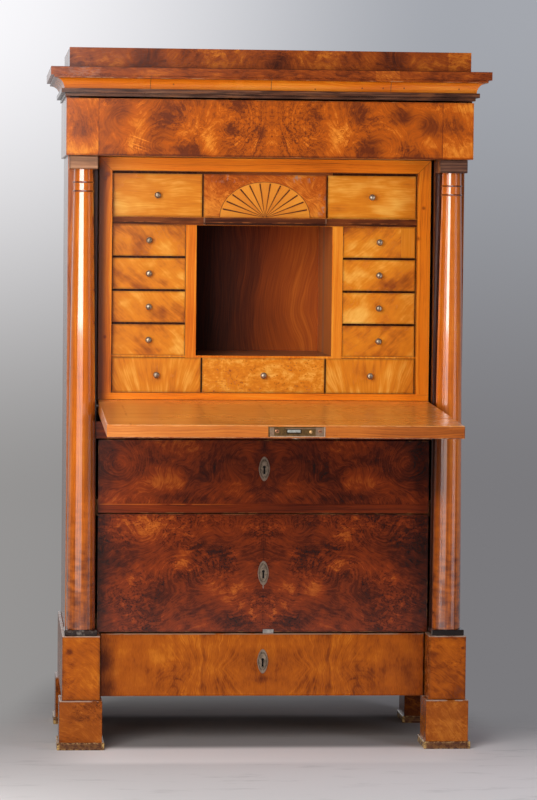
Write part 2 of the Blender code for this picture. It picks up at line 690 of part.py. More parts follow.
def tray(made, low, high, wall, floor):
    """Adds an open box behind a drawer front, from corner low to corner high."""
    add(made, (low[0], low[1] - JOIN_OVERLAP, low[2]), high)
    inside_low = (low[0] + wall, low[1], low[2] + floor)
    inside_high = (high[0] - wall, high[1] - wall, high[2] + CUT_OVERRUN)
    return cut(made, inside_low, inside_high)


def small_drawer(word, front):
    """Small drawer with its front, open tray and turned knob."""
    low_x, high_x, low_z, high_z = front
    front_back = at(high_x, NEST_FRONT_BACK, high_z)
    drawer = box("drawer_" + word, at(low_x, NEST_FRONT, low_z), front_back, "walnut_light")
    cell_low, cell_high = cell_of(front)[:2]
    low = at(max(cell_low, low_x) + RUN_GAP, NEST_FRONT_BACK, low_z)
    high = at(min(cell_high, high_x) - RUN_GAP, SMALL_TRAY_BACK, high_z - SMALL_TRAY_DROP)
    tray(drawer, low, high, SMALL_TRAY_SIDE, SMALL_TRAY_FLOOR)
    centre = at((low_x + high_x) / 2, NEST_FRONT, (low_z + high_z) / 2)
    set_origin(drawer, centre)
    hang_on(knob("knob_" + word, centre), drawer)
    return drawer


def knob_profile():
    """Radius and height of a knob: base disc, neck and ball head."""
    ball = KNOB_REACH - KNOB_HEAD_RADIUS * 0.8
    points = [(KNOB_BASE_RADIUS, 0), (KNOB_BASE_RADIUS, KNOB_BASE_THICK)]
    points.append((KNOB_NECK_RADIUS, KNOB_BASE_THICK * 1.5))
    for turn in (-66, -40, -10, 20, 50, 80):
        angle = math.radians(turn)
        points.append((KNOB_HEAD_RADIUS * math.cos(angle), ball + KNOB_HEAD_RADIUS * 0.8 * math.sin(angle)))
    return points


def knob(name, seat):
    """Turned metal knob standing out of a drawer front."""
    made = turned(name, knob_profile(), KNOB_FACETS, "pewter")
    made.data.transform(Matrix.Rotation(math.pi / 2, 4, "X"))
    made.location = (seat[0], seat[1] - SEAT_GAP, seat[2])
    return made


def large_drawer(name, half, proud, foot_z, top_z, board_foot, tray_top, finish):
    """Large drawer: a front board and an open tray behind it, which runs on the board below."""
    front_back = FRONT_THICK - proud
    drawer = box(name, at(-half, -proud, foot_z), at(half, front_back, top_z), finish)
    tray_half = tray_half_behind(half)
    low = at(-tray_half, front_back, board_foot + BOARD_THICK + SEAT_GAP)
    high = at(tray_half, TRAY_BACK, tray_top - TRAY_TOP_DROP)
    tray(drawer, low, high, TRAY_SIDE, TRAY_FLOOR)
    return set_origin(drawer, at(0, -proud, (foot_z + top_z) / 2))


def tray_half_behind(half_front):
    """Half the width of the tray behind a front, which runs between the stiles."""
    return min(half_front, HALF_OPENING - TRAY_SIDE_INSET) - RUN_GAP


def upper_band(drawer):
    """Raised band along the foot of the upper drawer's front."""
    band = box(
        "Band",
        at(-HALF_FRONT, -UPPER_BAND_PROUD, UPPER_FOOT),
        at(HALF_FRONT, JOIN_OVERLAP, UPPER_FOOT + UPPER_BAND_HEIGHT),
        "walnut_dark",
    )
    return combine(drawer, band, "UNION")


def keyed(drawer, name, depth, height):
    """Gives a large drawer its escutcheon and bores the keyhole behind it."""
    drill = keyhole_cutter(at(0, depth - ESCUTCHEON_THICK * 2, height), KEYHOLE_DEPTH)
    combine(drawer, drill, "DIFFERENCE")
    hang_on(escutcheon(name, at(0, depth - SEAT_GAP, height)), drawer)
    return drawer


def oval(half_width, half_height):
    """Outline of an escutcheon, an oval drawn in towards a point at its head and foot."""
    points = []
    for step in range(OVAL_FACETS):
        angle = math.tau * step / OVAL_FACETS
        narrow = 1 - ESCUTCHEON_POINT_SHARE * abs(math.sin(angle))
        points.append((half_width * math.cos(angle) * narrow, half_height * math.sin(angle)))
    return points


def keyhole_cutter(seat, depth):
    """Round hole with a slot under it, drawn back along Y from seat."""
    top = KEYHOLE_RISE
    half = KEYHOLE_SLOT_WIDTH / 2
    start = math.asin(half / KEYHOLE_RADIUS)
    turns = [start - math.pi / 2 + (math.tau - 2 * start) * step / 12 for step in range(13)]
    outline = [(KEYHOLE_RADIUS * math.cos(t), top + KEYHOLE_RADIUS * math.sin(t)) for t in turns]
    outline += [(-half, -KEYHOLE_SLOT_LENGTH + top), (half, -KEYHOLE_SLOT_LENGTH + top)]
    points = [(seat[0] + x, seat[1], seat[2] + z) for x, z in outline]
    return prism("Keyhole", points, (0, depth, 0), "pewter")


def escutcheon(name, seat):
    """Oval key plate with a raised rim; seat is the middle of its back."""
    half_width, half_height = ESCUTCHEON_WIDTH / 2, ESCUTCHEON_HEIGHT / 2
    field = ESCUTCHEON_THICK
    rim = field + ESCUTCHEON_RIM_PROUD
    loops = [
        (half_width, half_height, 0), (half_width, half_height, field),
        (half_width - ESCUTCHEON_RIM / 3, half_height - ESCUTCHEON_RIM / 3, rim),
        (half_width - ESCUTCHEON_RIM * 2 / 3, half_height - ESCUTCHEON_RIM * 2 / 3, rim),
        (half_width - ESCUTCHEON_RIM, half_height - ESCUTCHEON_RIM, field),
    ]
    shape = bmesh.new()
    rings = []
    for wide, tall, proud in loops:
        rings.append([shape.verts.new((seat[0] + x, seat[1] - proud, seat[2] + z)) for x, z in oval(wide, tall)])
    for outer, inner in zip(rings, rings[1:]):
        for here in range(OVAL_FACETS):
            after = (here + 1) % OVAL_FACETS
            shape.faces.new((outer[here], outer[after], inner[after], inner[here]))
    shape.faces.new(rings[0])
    shape.faces.new(rings[-1])
    made = object_from(name, shape, "pewter")
    drill = keyhole_cutter((seat[0], seat[1] - rim - CUT_OVERRUN, seat[2]), rim + 2 * CUT_OVERRUN)
    combine(made, drill, "DIFFERENCE")
    shade_round(made)
    return set_origin(made, seat)


def frieze_drawer():
    """Drawer hidden in the frieze, its front as wide as the frieze and its tray between the side boards."""
    half = HALF_FRIEZE
    drawer = box(
        "drawer_frieze", at(-half, -FRIEZE_FRONT, FRIEZE_FOOT), at(half, -FRIEZE_FRONT_BACK, FRIEZE_TOP), "walnut_figured"
    )
    tray_half = SIDE_INNER - RUN_GAP
    low = at(-tray_half, -FRIEZE_FRONT_BACK, FRIEZE_FOOT + FRIEZE_FLOOR_THICK + SEAT_GAP)
    high = at(tray_half, TRAY_BACK, FRIEZE_TOP - TRAY_TOP_DROP)
    tray(drawer, low, high, TRAY_SIDE, TRAY_FLOOR)
    return set_origin(drawer, at(0, -FRIEZE_FRONT, (FRIEZE_FOOT + FRIEZE_TOP) / 2))


def flap():
    """Writing flap, bored for its pivot pins and mortised for its lock, hanging a little below level."""
    half, thick = HALF_FLAP, FLAP_THICK / 2
    board = box("flap", (-half, -FLAP_HEAD, -thick), (half, FLAP_TAIL, thick), "walnut_light")
    bevel(board, FLAP_EDGE_BEVEL)
    length = 2 * (PIN_ENTRY + PIN_PLAY)
    for side in (-1, 1):
        radius = PIN_RADIUS + PIN_PLAY
        drill = turned("Drill", [(radius, -length / 2), (radius, length / 2)], PIN_FACETS, "walnut_light")
        drill.data.transform(Matrix.Rotation(math.pi / 2, 4, "Y"))
        drill.data.transform(Matrix.Translation((side * half, 0, 0)))
        combine(board, drill, "DIFFERENCE")
    low, high = lock_corners(SEAT_GAP)
    cut(board, (low[0], low[1] - CUT_OVERRUN, low[2]), high)
    board.location = at(0, PIVOT_DEPTH, PIVOT_Z)
    board.rotation_euler.x = FLAP_DROOP
    return board


def lock_corners(margin):
    """Low and high corner of the lock in the flap's own frame, grown by a margin all round but the front."""
    half, tall = LOCK_LENGTH / 2 + margin, FLAP_THICK / 2 - LOCK_EDGE + margin
    front = -FLAP_HEAD
    return (LOCK_OFFSET_X - half, front, -tall), (LOCK_OFFSET_X + half, front + LOCK_DEPTH + margin, tall)


def flap_lock(board):
    """Lock let into the free edge of the flap, with the slot its bolt comes out of."""
    low, high = lock_corners(0)
    lock = box("flap_lock", low, high, "pewter")
    middle = LOCK_OFFSET_X + LOCK_BOLT_OFFSET_X
    half, tall = LOCK_BOLT_LENGTH / 2, LOCK_BOLT_HEIGHT / 2
    cut(
        lock,
        (middle - half, low[1] - CUT_OVERRUN, -tall),
        (middle + half, low[1] + LOCK_BOLT_DEPTH, tall),
    )
    lock.parent = board
    return lock


def build_carcass():
    for side, word in ((-1, "left"), (1, "right")):
        side_panel("side_" + word, side)
        pedestal("pedestal_" + word, side)
        foot("foot_front_" + word, side, -FOOT_FRONT)
        foot("foot_rear_" + word, side, CARCASS_DEPTH - FOOT_DEPTH)
        foot_half = SHAFT_FOOT_RADIUS + COLUMN_PLINTH_SIDE
        foot_heights = (COLUMN_PLINTH_FOOT, COLUMN_PLINTH_TOP)
        column_block("column_plinth_" + word, side, foot_half, COLUMN_PLINTH_FRONT, foot_heights)
        column("column_" + word, side)
        head_half = SHAFT_HEAD_RADIUS + ABACUS_PROUD
        column_block("abacus_" + word, side, head_half, ABACUS_FRONT, (ABACUS_FOOT, ABACUS_TOP))
    drawer_board("bottom_board", PEDESTAL_FOOT, tray_half_behind(HALF_LOWER_FRONT))
    drawer_board("dust_board_lower", LOWER_BOARD_FOOT, tray_half_behind(HALF_FRONT))
    drawer_board("dust_board_upper", UPPER_BOARD_FOOT, tray_half_behind(HALF_FRONT))
    desk_floor()
    frieze_floor()
    back_panel()
    cornice()


def build_large_drawers():
    lower = large_drawer(
        "drawer_lower", HALF_LOWER_FRONT, LOWER_FRONT_PROUD, LOWER_FOOT, LOWER_TOP,
        PEDESTAL_FOOT, LOWER_BOARD_FOOT, "walnut_figured",
    )
    middle = large_drawer(
        "drawer_middle", HALF_FRONT, 0, MIDDLE_FOOT, MIDDLE_TOP, LOWER_BOARD_FOOT, UPPER_BOARD_FOOT, "walnut_dark"
    )
    upper = large_drawer(
        "drawer_upper", HALF_FRONT, 0, UPPER_FOOT, UPPER_TOP, UPPER_BOARD_FOOT, UPPER_TOP, "walnut_dark"
    )
    upper_band(upper)
    keyed(lower, "escutcheon_lower", -LOWER_FRONT_PROUD, (LOWER_FOOT + LOWER_TOP) / 2 + ESCUTCHEON_LOWER_RISE)
    keyed(middle, "escutcheon_middle", 0, (MIDDLE_FOOT + MIDDLE_TOP) / 2)
    keyed(upper, "escutcheon_upper", 0, (UPPER_FOOT + UPPER_TOP) / 2 + ESCUTCHEON_UPPER_RISE)
    frieze_drawer()


def build_writing_compartment():
    interior_frame()
    interior_case()
    interior_moulding()
    fan_panel()
    for word, front in nest_fronts().items():
        small_drawer(word, front)
    flap_lock(flap())


clear_scene()
build_carcass()
build_large_drawers()
build_writing_compartment()
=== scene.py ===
"""Fall front secretaire in polished burr walnut: materials, inlay and small fittings, floor, light and camera."""

import math
from functools import reduce

import bmesh
import bpy
from mathutils import Matrix, Vector


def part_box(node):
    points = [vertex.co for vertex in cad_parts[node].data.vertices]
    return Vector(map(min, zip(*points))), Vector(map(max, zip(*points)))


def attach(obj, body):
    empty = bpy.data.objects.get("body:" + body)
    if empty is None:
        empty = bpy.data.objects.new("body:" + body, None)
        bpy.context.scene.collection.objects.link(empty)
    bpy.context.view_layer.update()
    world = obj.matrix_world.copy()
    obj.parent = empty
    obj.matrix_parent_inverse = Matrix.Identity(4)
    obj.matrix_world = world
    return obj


# The camera, found from straight edges of the piece in the photograph
CAMERA_PLACE = (-0.6337, -7.2507, 1.199)
CAMERA_YAW = math.radians(5.0072)
CAMERA_PITCH = math.radians(3.1871)
CAMERA_ROLL = math.radians(-0.5869)
CAMERA_LENS = 145.3
BACKDROP_REACH = 9.4

# Places that the materials need, in metres
FACE_Y = 0.07294
LOWER_FACE_Y = 0.06644
NEST_FACE = 0.12614
PLATE_HEIGHTS = {"upper": 0.6322, "middle": 0.3932, "lower": 0.19135}
PLATE_HALF_WIDTH = 0.0128
PLATE_HALF_HEIGHT = 0.028
COVE_FOOT, CORONA_FOOT, ATTIC_FOOT, TOP = 1.4883, 1.5112, 1.5355, 1.58
FRAME_HALF_OPENING, FRAME_OPENING_FOOT, FRAME_OPENING_HEAD = 0.3495, 0.8032, 1.3081
NICHE_HALF = 0.156
NICHE_BACK = 0.43514
NICHE_FOOT = 0.8877
NECK_RINGS = (1.2802, 1.2602)
FLAP_PIVOT = (0.09239, 0.7726)
DROOP_SIN, DROOP_COS = math.sin(math.radians(2)), math.cos(math.radians(2))
FLAP_HALF_THICK = 0.01375
FLAP_HEAD = 0.5652
COLUMN_X = 0.4176
COLUMN_Y = 0.03874
FAN_FOOT = 1.205
FAN_HALF_WIDTH = 0.103
FAN_HEIGHT = 0.0803
FAN_SEGMENTS = 13

# Woods, each in four screen colours from its dark figure to its light
BURR_GOLD = "6e3014 a64e14 c86418 ec9030"
BURR_BROWN = "4a1e0e 803812 a65016 d27622"
BURR_RED = "341309 702a0e 9c4214 ce6c22"
CROTCH = "70300c a24e0e bc6212 d67c1e"
FOOT_WOOD = "58260c 8c4410 a65616 c67424"
HONEY = "984a14 d4781b e9932b fcbc56"
ORANGE = "ba540e d46a12 e47e1a f29a30"
FRAME_WOOD_PAINTED_LIT = "b65610 ec7c16 fa8e1e ffa83a"
FRAME_WOOD = "903e0c c45e10 d87016 e88a2a"
FLAP_WOOD = "8e4616 be6622 d27a2c e49446"
COLUMN_WOOD = "843a0e c86414 e67c1c f89c36"
NICHE_WOOD = "482210 924216 bc5e1c da7e2a"
ABACUS_WOOD = "6e4a32 9c6a48 ba8660 d2a47a"
DARK_WOOD = "281008 4c2210 6a3618 8e5026"
BLACK_WOOD = "0e0b09 1c1613 322620 685648"
STEP_WOOD = "28140c 4e2e20 6c4632 926a4e"
SIDE_WOOD = "481e0c 743414 92481c b2642c"
STILE_WOOD_PAINTED_SHADE = "160906 2e140b 482010 6e361a"
INNER_WOOD = "704828 a07042 ba8a58 cea470"
PALE_INLAY = "cc701c e48a28 f29e36 fab24e"
RAMP_PLACES = (0.12, 0.4, 0.62, 0.9)
LINE_DARK = "2e140a"
ARRIS_LIGHT = "ce8c54"
ARRIS_GREY = "967a62"


def rgb(code):
    """Linear colour of a screen colour in six hexadecimal digits."""

    def linear(share):
        return share / 12.92 if share <= 0.04045 else ((share + 0.055) / 1.055) ** 2.4

    return (*[linear(int(code[place:place + 2], 16) / 255) for place in (0, 2, 4)], 1)


def graph_of(values):
    return next(value.graph for value in values if isinstance(value, Value))


def calc(operation, *values):
    """Maths node on values and plain numbers."""
    return graph_of(values).add("ShaderNodeMath", dict(enumerate(values)), operation=operation)


def operator(operation, swapped=False):
    """Method of an arithmetic sign between two values."""
    return lambda one, other: calc(operation, other, one) if swapped else calc(operation, one, other)


class Value:
    """Output of a node in a material's graph. Sums with it add nodes to the graph."""

    def __init__(self, graph, socket):
        self.graph = graph
        self.socket = socket

    __add__, __radd__ = operator("ADD"), operator("ADD", True)
    __sub__, __rsub__ = operator("SUBTRACT"), operator("SUBTRACT", True)
    __mul__, __rmul__ = operator("MULTIPLY"), operator("MULTIPLY", True)
    __truediv__ = operator("DIVIDE")

    def __abs__(self):
        return calc("ABSOLUTE", self)


class Graph:
    """Node graph of a material or a world. Place is x, y and z of the surface at rest, or a world's direction."""

    def __init__(self, name, world=None):
        self.owner = world or bpy.data.materials.new(name)
        self.owner.use_nodes = True
        self.tree = self.owner.node_tree
        self.tree.nodes.clear()
        place = self.add("ShaderNodeTexCoord", output="Generated" if world else "Object")
        parts = self.add("ShaderNodeSeparateXYZ", {0: place}).socket.node
        self.place = [Value(self, output) for output in parts.outputs]

    def add(self, kind, inputs=None, output=0, **settings):
        """Adds a node, feeds values, numbers or colour codes to its inputs, and gives one of its outputs."""
        made = self.tree.nodes.new(kind)
        for name, value in settings.items():
            setattr(made, name, value)
        for key, value in (inputs or {}).items():
            if isinstance(value, Value):
                self.tree.links.new(value.socket, made.inputs[key])
            else:
                made.inputs[key].default_value = rgb(value) if isinstance(value, str) else value
        return Value(self, made.outputs[output])

    def ray(self, kind):
        return self.add("ShaderNodeLightPath", output=f"Is {kind} Ray")

    def finish(self, shader, kind="Material"):
        out = self.tree.nodes.new("ShaderNodeOutput" + kind)
        self.tree.links.new(shader.socket, out.inputs["Surface"])
        return self.owner


def wood(name):
    """Starts the material of a wooden piece, and gives its x, y and z."""
    return Graph("wood_" + name).place


def least(*values):
    return reduce(lambda one, other: calc("MINIMUM", one, other), values)


def most(*values):
    return reduce(lambda one, other: calc("MAXIMUM", one, other), values)


def point(u, v, w=0):
    return graph_of((u, v, w)).add("ShaderNodeCombineXYZ", {0: u, 1: v, 2: w})


def noise(u, v, w=0, detail=2, rough=0.5):
    """Soft noise from 0 to 1 with features about 1 across."""
    place = point(u, v, w)
    inputs = {"Vector": place, "Scale": 1, "Detail": detail, "Roughness": rough}
    return place.graph.add("ShaderNodeTexNoise", inputs)


def rubbing(u, v, w=0):
    """Ragged noise that breaks up rubbed edges and scuffs."""
    return noise(u, v, w, 3, 0.7)


def lines(path, detail=3, rough=0.6):
    """Uneven bands from 0 to 1 along a path, each about 1 wide."""
    inputs = {"W": path, "Scale": 1, "Detail": detail, "Roughness": rough}
    return path.graph.add("ShaderNodeTexNoise", inputs, noise_dimensions="1D")


def cells(u, v, w=0):
    """Distance to the nearest of scattered points about 1 apart."""
    place = point(u, v, w)
    return place.graph.add("ShaderNodeTexVoronoi", {"Vector": place, "Scale": 1}, "Distance")


def smooth(value, low, high):
    """0 at low and beyond, 1 at high and beyond, and a smooth rise between."""
    inputs = {"Value": value, "From Min": low, "From Max": high}
    return value.graph.add("ShaderNodeMapRange", inputs, interpolation_type="SMOOTHSTEP")


def band(value, low, high, edge):
    """1 from low to high, falling to 0 over the edge at each side."""
    return smooth(value, low - edge, low) * smooth(value, high + edge, high)


def spot(place, centre, radius):
    """1 at the centre, falling smoothly to 0 at the radius."""
    inputs = {0: place, 1: (*centre, 0)}
    return smooth(place.graph.add("ShaderNodeVectorMath", inputs, "Value", operation="DISTANCE"), radius, 0)


def clouds(tone, place, spots, share=1):
    """Tone with clouds: each is (u, v, radius), with a strength or none. A negative share makes them dark."""
    for u, v, radius, *strength in spots:
        tone = tone + spot(place, (u, v), radius) * (math.prod(strength) * share)
    return tone


def ramp(tone, palette):
    """Colour of a tone from 0 to 1 in a palette."""
    colour = tone.graph.add("ShaderNodeValToRGB", {0: tone})
    colour.socket.node.color_ramp.interpolation = "CARDINAL"
    stops = colour.socket.node.color_ramp.elements
    while len(stops) < len(RAMP_PLACES):
        stops.new(1)
    for stop, place, code in zip(stops, RAMP_PLACES, palette.split()):
        stop.position = place
        stop.color = rgb(code)
    return colour


def mix(share, first, second):
    """First colour where the share is 0, second where it is 1."""
    return share.graph.add("ShaderNodeMix", {0: share, 6: first, 7: second}, 2, data_type="RGBA")


def surface(colour, rough, height, depth, metal=0, coat=0, coat_rough=0.1, coat_ior=1.5, specular=0.5):
    """Ends a material in one shader. Height is a value from 0 to 1 that stands for depth metres."""
    bump = colour.graph.add("ShaderNodeBump", {"Strength": 1, "Distance": depth, "Height": height})
    return colour.graph.finish(colour.graph.add("ShaderNodeBsdfPrincipled", {
        "Base Color": colour, "Roughness": rough, "Metallic": metal, "Specular IOR Level": specular, "Normal": bump,
        "Coat Weight": coat, "Coat Roughness": coat_rough, "Coat IOR": coat_ior,
    }))


def grain(along, across, third=0, pitch=0.007, wander=0.012, seed=0):
    """Tone from 0 to 1 of a straight grained board, with its years, pores and faint ripple."""
    drift = noise(along * 2.2 + seed, across * 7, third * 7) - 0.5
    path = across + drift * wander * 4 + third * 0.35
    years = lines(path / pitch + seed, rough=0.62) - 0.5
    fibres = noise(along * 16, path * 520 + seed, third * 520, rough=0.6) - 0.5
    pores = noise(along * 60, path * 1800 + seed, third * 1200, detail=1) - 0.5
    cloud = noise(along * 4.5 - seed, across * 18, third * 18, detail=3) - 0.5
    return years * 0.75 + fibres * 0.45 + pores * 0.25 + cloud * 0.75 + 0.5


def figure(u, v, eyes=(), dark=(), light=(), pitch=0.009, warp=0.05, lean=(0.35, 1), burr=0.5, cloud=1, seed=0):
    """Tone from 0 to 1 of figured veneer: smoky clouds, and fibres that swirl round its eyes.

    Each eye is (u, v, radius, rise in metres), and each dark or light cloud is (u, v, radius, strength).
    """
    place = point(u, v)
    slow = noise(u * 4 + seed, v * 5.5, seed, detail=1) - 0.5
    drift = noise(u * 14 + seed, v * 16, seed + 5, detail=3, rough=0.6) - 0.5
    field = u * lean[0] + v * lean[1] + slow * warp * 2.6 + drift * warp * 0.6
    across = v * lean[0] - u * lean[1] + drift * warp
    field = clouds(field, place, eyes)
    bands = lines(field / pitch + seed) - 0.5
    shown = smooth(noise(u * 9 + seed, v * 9, seed + 9, detail=1), 0.3, 0.62)
    fibres = noise(field * 330, across * 24, seed, rough=0.6) - 0.5
    smoke = noise(u * 10 - seed + drift, v * 15 + drift, seed + 3, detail=4, rough=0.52) - 0.5
    mottle = noise(field * 80, across * 48, seed + 1) - 0.5
    pores = noise(field * 1500, across * 160, seed, detail=1) - 0.5
    tone = bands * shown * 0.3 + fibres * 0.42 + smoke * cloud * 1.05 + mottle * 0.5 + pores * 0.35 + 0.5
    if burr:
        patch = smooth(noise(u * 9 + seed, v * 11, seed + 7), 0.4, 0.62)
        curl = noise(u * 62 + drift * 3, v * 70 + drift * 3, seed + 2, detail=3, rough=0.6)
        worm = smooth(abs(curl - 0.5), 0.04, 0.004)
        pips = smooth(cells(u * 120 + drift * 4, v * 120 + slow * 4, seed), 0.3, 0.06)
        tone = tone - (worm * 0.24 + pips * 0.3) * patch * burr + (curl - 0.5) * patch * burr * 0.9
    return clouds(clouds(tone, place, dark, -1), place, light)


def edge_distance(name, **axes):
    """Distance from the nearest edge of a node's box, along the axes given."""
    low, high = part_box(name)
    return least(*[gap for axis, value in axes.items()
                   for gap in (value - getattr(low, axis), getattr(high, axis) - value)])


def worn_edge(colour, distance, light=ARRIS_LIGHT, width=0.0016):
    """Thin rubbed arris with a faint darker line just inside it."""
    x, y, z = colour.graph.place
    rub = smooth(distance, width, 0) * smooth(rubbing(x * 46, y * 46, z * 46), 0.5, 0.68)
    inner_dark_line = smooth(distance, width * 3, width * 0.6)
    return mix(rub * 0.6, mix(inner_dark_line * 0.28, colour, LINE_DARK), light)


def polished(colour, tone, rough=0.16, wear=None, depth=0.00008, coat=0.3, shine=0.35, **finish):
    """French polish over wood: soft gloss that the pores and old wear break up."""
    x, y, z = colour.graph.place
    haze = noise(x * 5, y * 5, z * 5, detail=4, rough=0.65)
    gloss = haze * 0.14 - tone * 0.05 + rough
    if wear is not None:
        gloss = gloss + wear * 0.25
    return surface(colour, gloss, tone * 0.6 + haze * 0.8, depth, coat=coat, specular=shine, **finish)


def drawer_material(name, face_of, colours, arris=ARRIS_LIGHT, proud=0, thick=0.022, keyhole=None, ridge=0, **finish):
    """Veneered drawer: the figure on its front, a plain edge round it and pale wood behind.

    Proud is how far a band stands before the face. Keyhole is the height of the middle of its plate.
    Ridge is how grey its top edge is rubbed.
    """
    low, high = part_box(name)
    x, y, z = wood(name)
    tone = face_of(x, z)
    face = worn_edge(ramp(tone, colours), edge_distance(name, x=x, z=z), arris)
    edge, inner = ramp(grain(x, y, z, seed=4), DARK_WOOD), ramp(grain(y, x, z, seed=9), INNER_WOOD)
    front = low.y + proud
    colour = mix(smooth(y, front + 0.0012, front + 0.002), face, edge)
    colour = mix(smooth(y, front + thick - 0.001, front + thick), colour, inner)
    if ridge:
        rub = smooth(rubbing(x * 16, z * 60, 6), 0.36, 0.52)
        colour = mix(smooth(z, high.z - 0.0034, high.z - 0.0022) * rub * ridge, colour, ARRIS_GREY)
    if keyhole is not None:
        # Painted shade: the inside of the keyhole through the front is near black.
        hole = smooth(abs(x), 0.0052, 0.0048) * band(z, keyhole - 0.0135, keyhole + 0.0095, 0.0004)
        colour = mix(hole * smooth(y, low.y + 0.016, low.y + 0.012), colour, "0c0806")
        colour = mix(spot(point(x, z), (0, keyhole), 0.045) * 0.25, colour, LINE_DARK)
    return polished(colour, tone, **finish)


def frieze_face(x, z):
    """Three sheets of burr: a bookmatched pair of wide ones, and a short one at each end."""
    u = abs(x - 0.0018)
    eyes = [(0.08, 1.4223, 0.05, 0.05), (0.092, 1.3909, 0.035, 0.04), (0.202, 1.424, 0.06, 0.05),
            (0.345, 1.418, 0.05, -0.04), (0.27, 1.37, 0.06, -0.04)]
    tone = figure(u, z, eyes, pitch=0.008, warp=0.05, lean=(0.95, 0.35), burr=0.7) - 0.03
    place, pair = point(x, z), point(u, z)
    heart = spot(pair, (0.05, 1.4), 0.13)
    curl = noise(u * 75, z * 75, 4, detail=3, rough=0.65)
    pips = cells(u * 150 + curl * 3, z * 150, 2)
    tone = tone + (smooth(abs(curl - 0.5), 0, 0.05) - 0.7) * heart * 0.3 - smooth(pips, 0.3, 0.1) * heart * 0.3
    spread = calc("ARCTAN2", u, 1.462 - z)
    streaks = lines(spread * 9 + curl * 1.2, detail=2)
    tone = tone - smooth(streaks, 0.52, 0.36) * spot(pair, (0.035, 1.375), 0.07) * 0.34
    dark = [(-0.4214, 1.3934, 0.045), (-0.3392, 1.4412, 0.05), (-0.2274, 1.436, 0.055), (-0.0706, 1.4581, 0.035),
            (-0.2714, 1.3463, 0.05), (-0.1818, 1.3473, 0.055), (-0.0881, 1.4043, 0.03), (-0.0206, 1.3962, 0.02),
            (0.0985, 1.4291, 0.035), (0.2001, 1.4371, 0.045), (0.3544, 1.4189, 0.045), (0.4159, 1.4062, 0.04),
            (0.2952, 1.4338, 0.04), (0.2236, 1.3589, 0.045), (0.3144, 1.3488, 0.045)]
    light = [(-0.29, 1.374, 0.05), (-0.3, 1.425, 0.04), (-0.14, 1.37, 0.04), (0.27, 1.4, 0.05),
             (-0.19, 1.385, 0.04), (0.16, 1.385, 0.05), (0.36, 1.37, 0.04)]
    tone = clouds(clouds(tone, place, dark, -0.34), place, light, 0.22)
    hatch = lines((x * 0.35 + z) / 0.0035, detail=1)
    tone = tone + smooth(hatch, 0.56, 0.7) * spot(place, (-0.292, 1.372), 0.038) * 0.4
    end = most(smooth(x, -0.3855, -0.3865), smooth(x, 0.3878, 0.3888))
    other = figure(x, z, [], ((-0.4214, 1.392, 0.05, 0.4), (0.4159, 1.406, 0.05, 0.3)),
                   pitch=0.012, lean=(1, 0.4), burr=0.4, seed=11) + 0.1
    tone = tone + (other - tone) * end
    seam = smooth(least(abs(x + 0.386), abs(x - 0.3883)), 0.0012, 0.0002)
    return tone - seam * 0.35 - smooth(z, 1.3455, 1.3415) * noise(x * 30, z * 80) * 0.4


def upper_face(x, z):
    """Dark flowing veneer with a few eyes, a let-in corner and a plain band along its foot."""
    u = abs(x)
    eyes = [(0.3226, 0.6398, 0.07, 0.09), (0.2563, 0.5967, 0.035, 0.045), (0.128, 0.607, 0.035, 0.03),
            (0.1968, 0.6302, 0.03, -0.03), (0.06, 0.66, 0.06, -0.05)]
    # The dark clouds along the top are painted shade: the flap's shadow on the drawer.
    dark = [(0, 0.69, 0.13, 0.22), (0.1, 0.69, 0.07, 0.14), (0.37, 0.69, 0.08, 0.08)]
    light = [(0.3226, 0.6398, 0.035, 0.12), (0.245, 0.6, 0.03, 0.22), (0.2, 0.6, 0.04, 0.16),
             (0.2, 0.66, 0.03, 0.14)]
    tone = figure(u, z, eyes, dark, light, pitch=0.008, lean=(0.8, 0.5), burr=0.3, seed=2) - 0.03
    patch = smooth(z + x, 0.1785, 0.1755) * smooth(z, 0.5525, 0.5535)
    # Darker towards the right end: painted shade where the light falls off.
    tone = tone - smooth(x, -0.05, 0.3) * 0.1 + patch * 0.24
    foot_band = smooth(z, 0.552, 0.5512)
    plain = grain(x, z, seed=5) * 0.7 + 0.08
    rub = smooth(noise(x * 22, z * 50, detail=3), 0.32, 0.5)
    top = band(z, 0.5497, 0.5512, 0.0004) * rub * smooth(x, 0.1, -0.2)
    return tone + (plain - tone) * foot_band + top * 0.38


def middle_face(x, z):
    """Bookmatched burr with golden patches, darkest at its right end."""
    eyes = [(0.2713, 0.4801, 0.06, 0.05), (0.1755, 0.4894, 0.04, 0.03), (0.1871, 0.474, 0.03, -0.03),
            (0.1306, 0.3819, 0.05, 0.04), (0.2022, 0.4, 0.06, -0.05), (0.0772, 0.4919, 0.04, 0.04)]
    dark = [(0.05, 0.49, 0.06, 0.12), (0.1, 0.44, 0.05, 0.1), (0.15, 0.33, 0.05, 0.12), (0.24, 0.35, 0.07, 0.12)]
    light = [(0.1797, 0.439, 0.035, 0.14), (0.1909, 0.4115, 0.025, 0.16), (0.055, 0.37, 0.035, 0.14),
             (0.1648, 0.4095, 0.03, 0.1), (0.1193, 0.3543, 0.04, 0.14), (0.133, 0.3312, 0.03, 0.12)]
    tone = figure(abs(x), z, eyes, dark, light, pitch=0.009, lean=(0.3, 0.9), burr=0.8, cloud=0.8, seed=5) - 0.05
    own = [(-0.26, 0.5, 0.07, 0.26), (-0.1797, 0.439, 0.03, 0.2), (-0.19, 0.4115, 0.025, 0.18),
           (0.165, 0.4095, 0.03, 0.2), (0.1871, 0.474, 0.03, 0.2), (0.12, 0.354, 0.035, 0.14),
           (-0.08, 0.34, 0.03, 0.16), (-0.31, 0.36, 0.03, 0.12), (0.29, 0.5, 0.08, -0.16),
           (0.36, 0.45, 0.1, -0.08), (0.1, 0.51, 0.06, -0.14), (-0.36, 0.42, 0.06, -0.1)]
    tone = clouds(tone, point(x, z), own)
    ends = smooth(x, 0.3, 0.385) * 0.2 + smooth(x, -0.33, -0.385) * 0.18
    return tone - ends - smooth(abs(x), 0.001, 0.0002) * 0.12


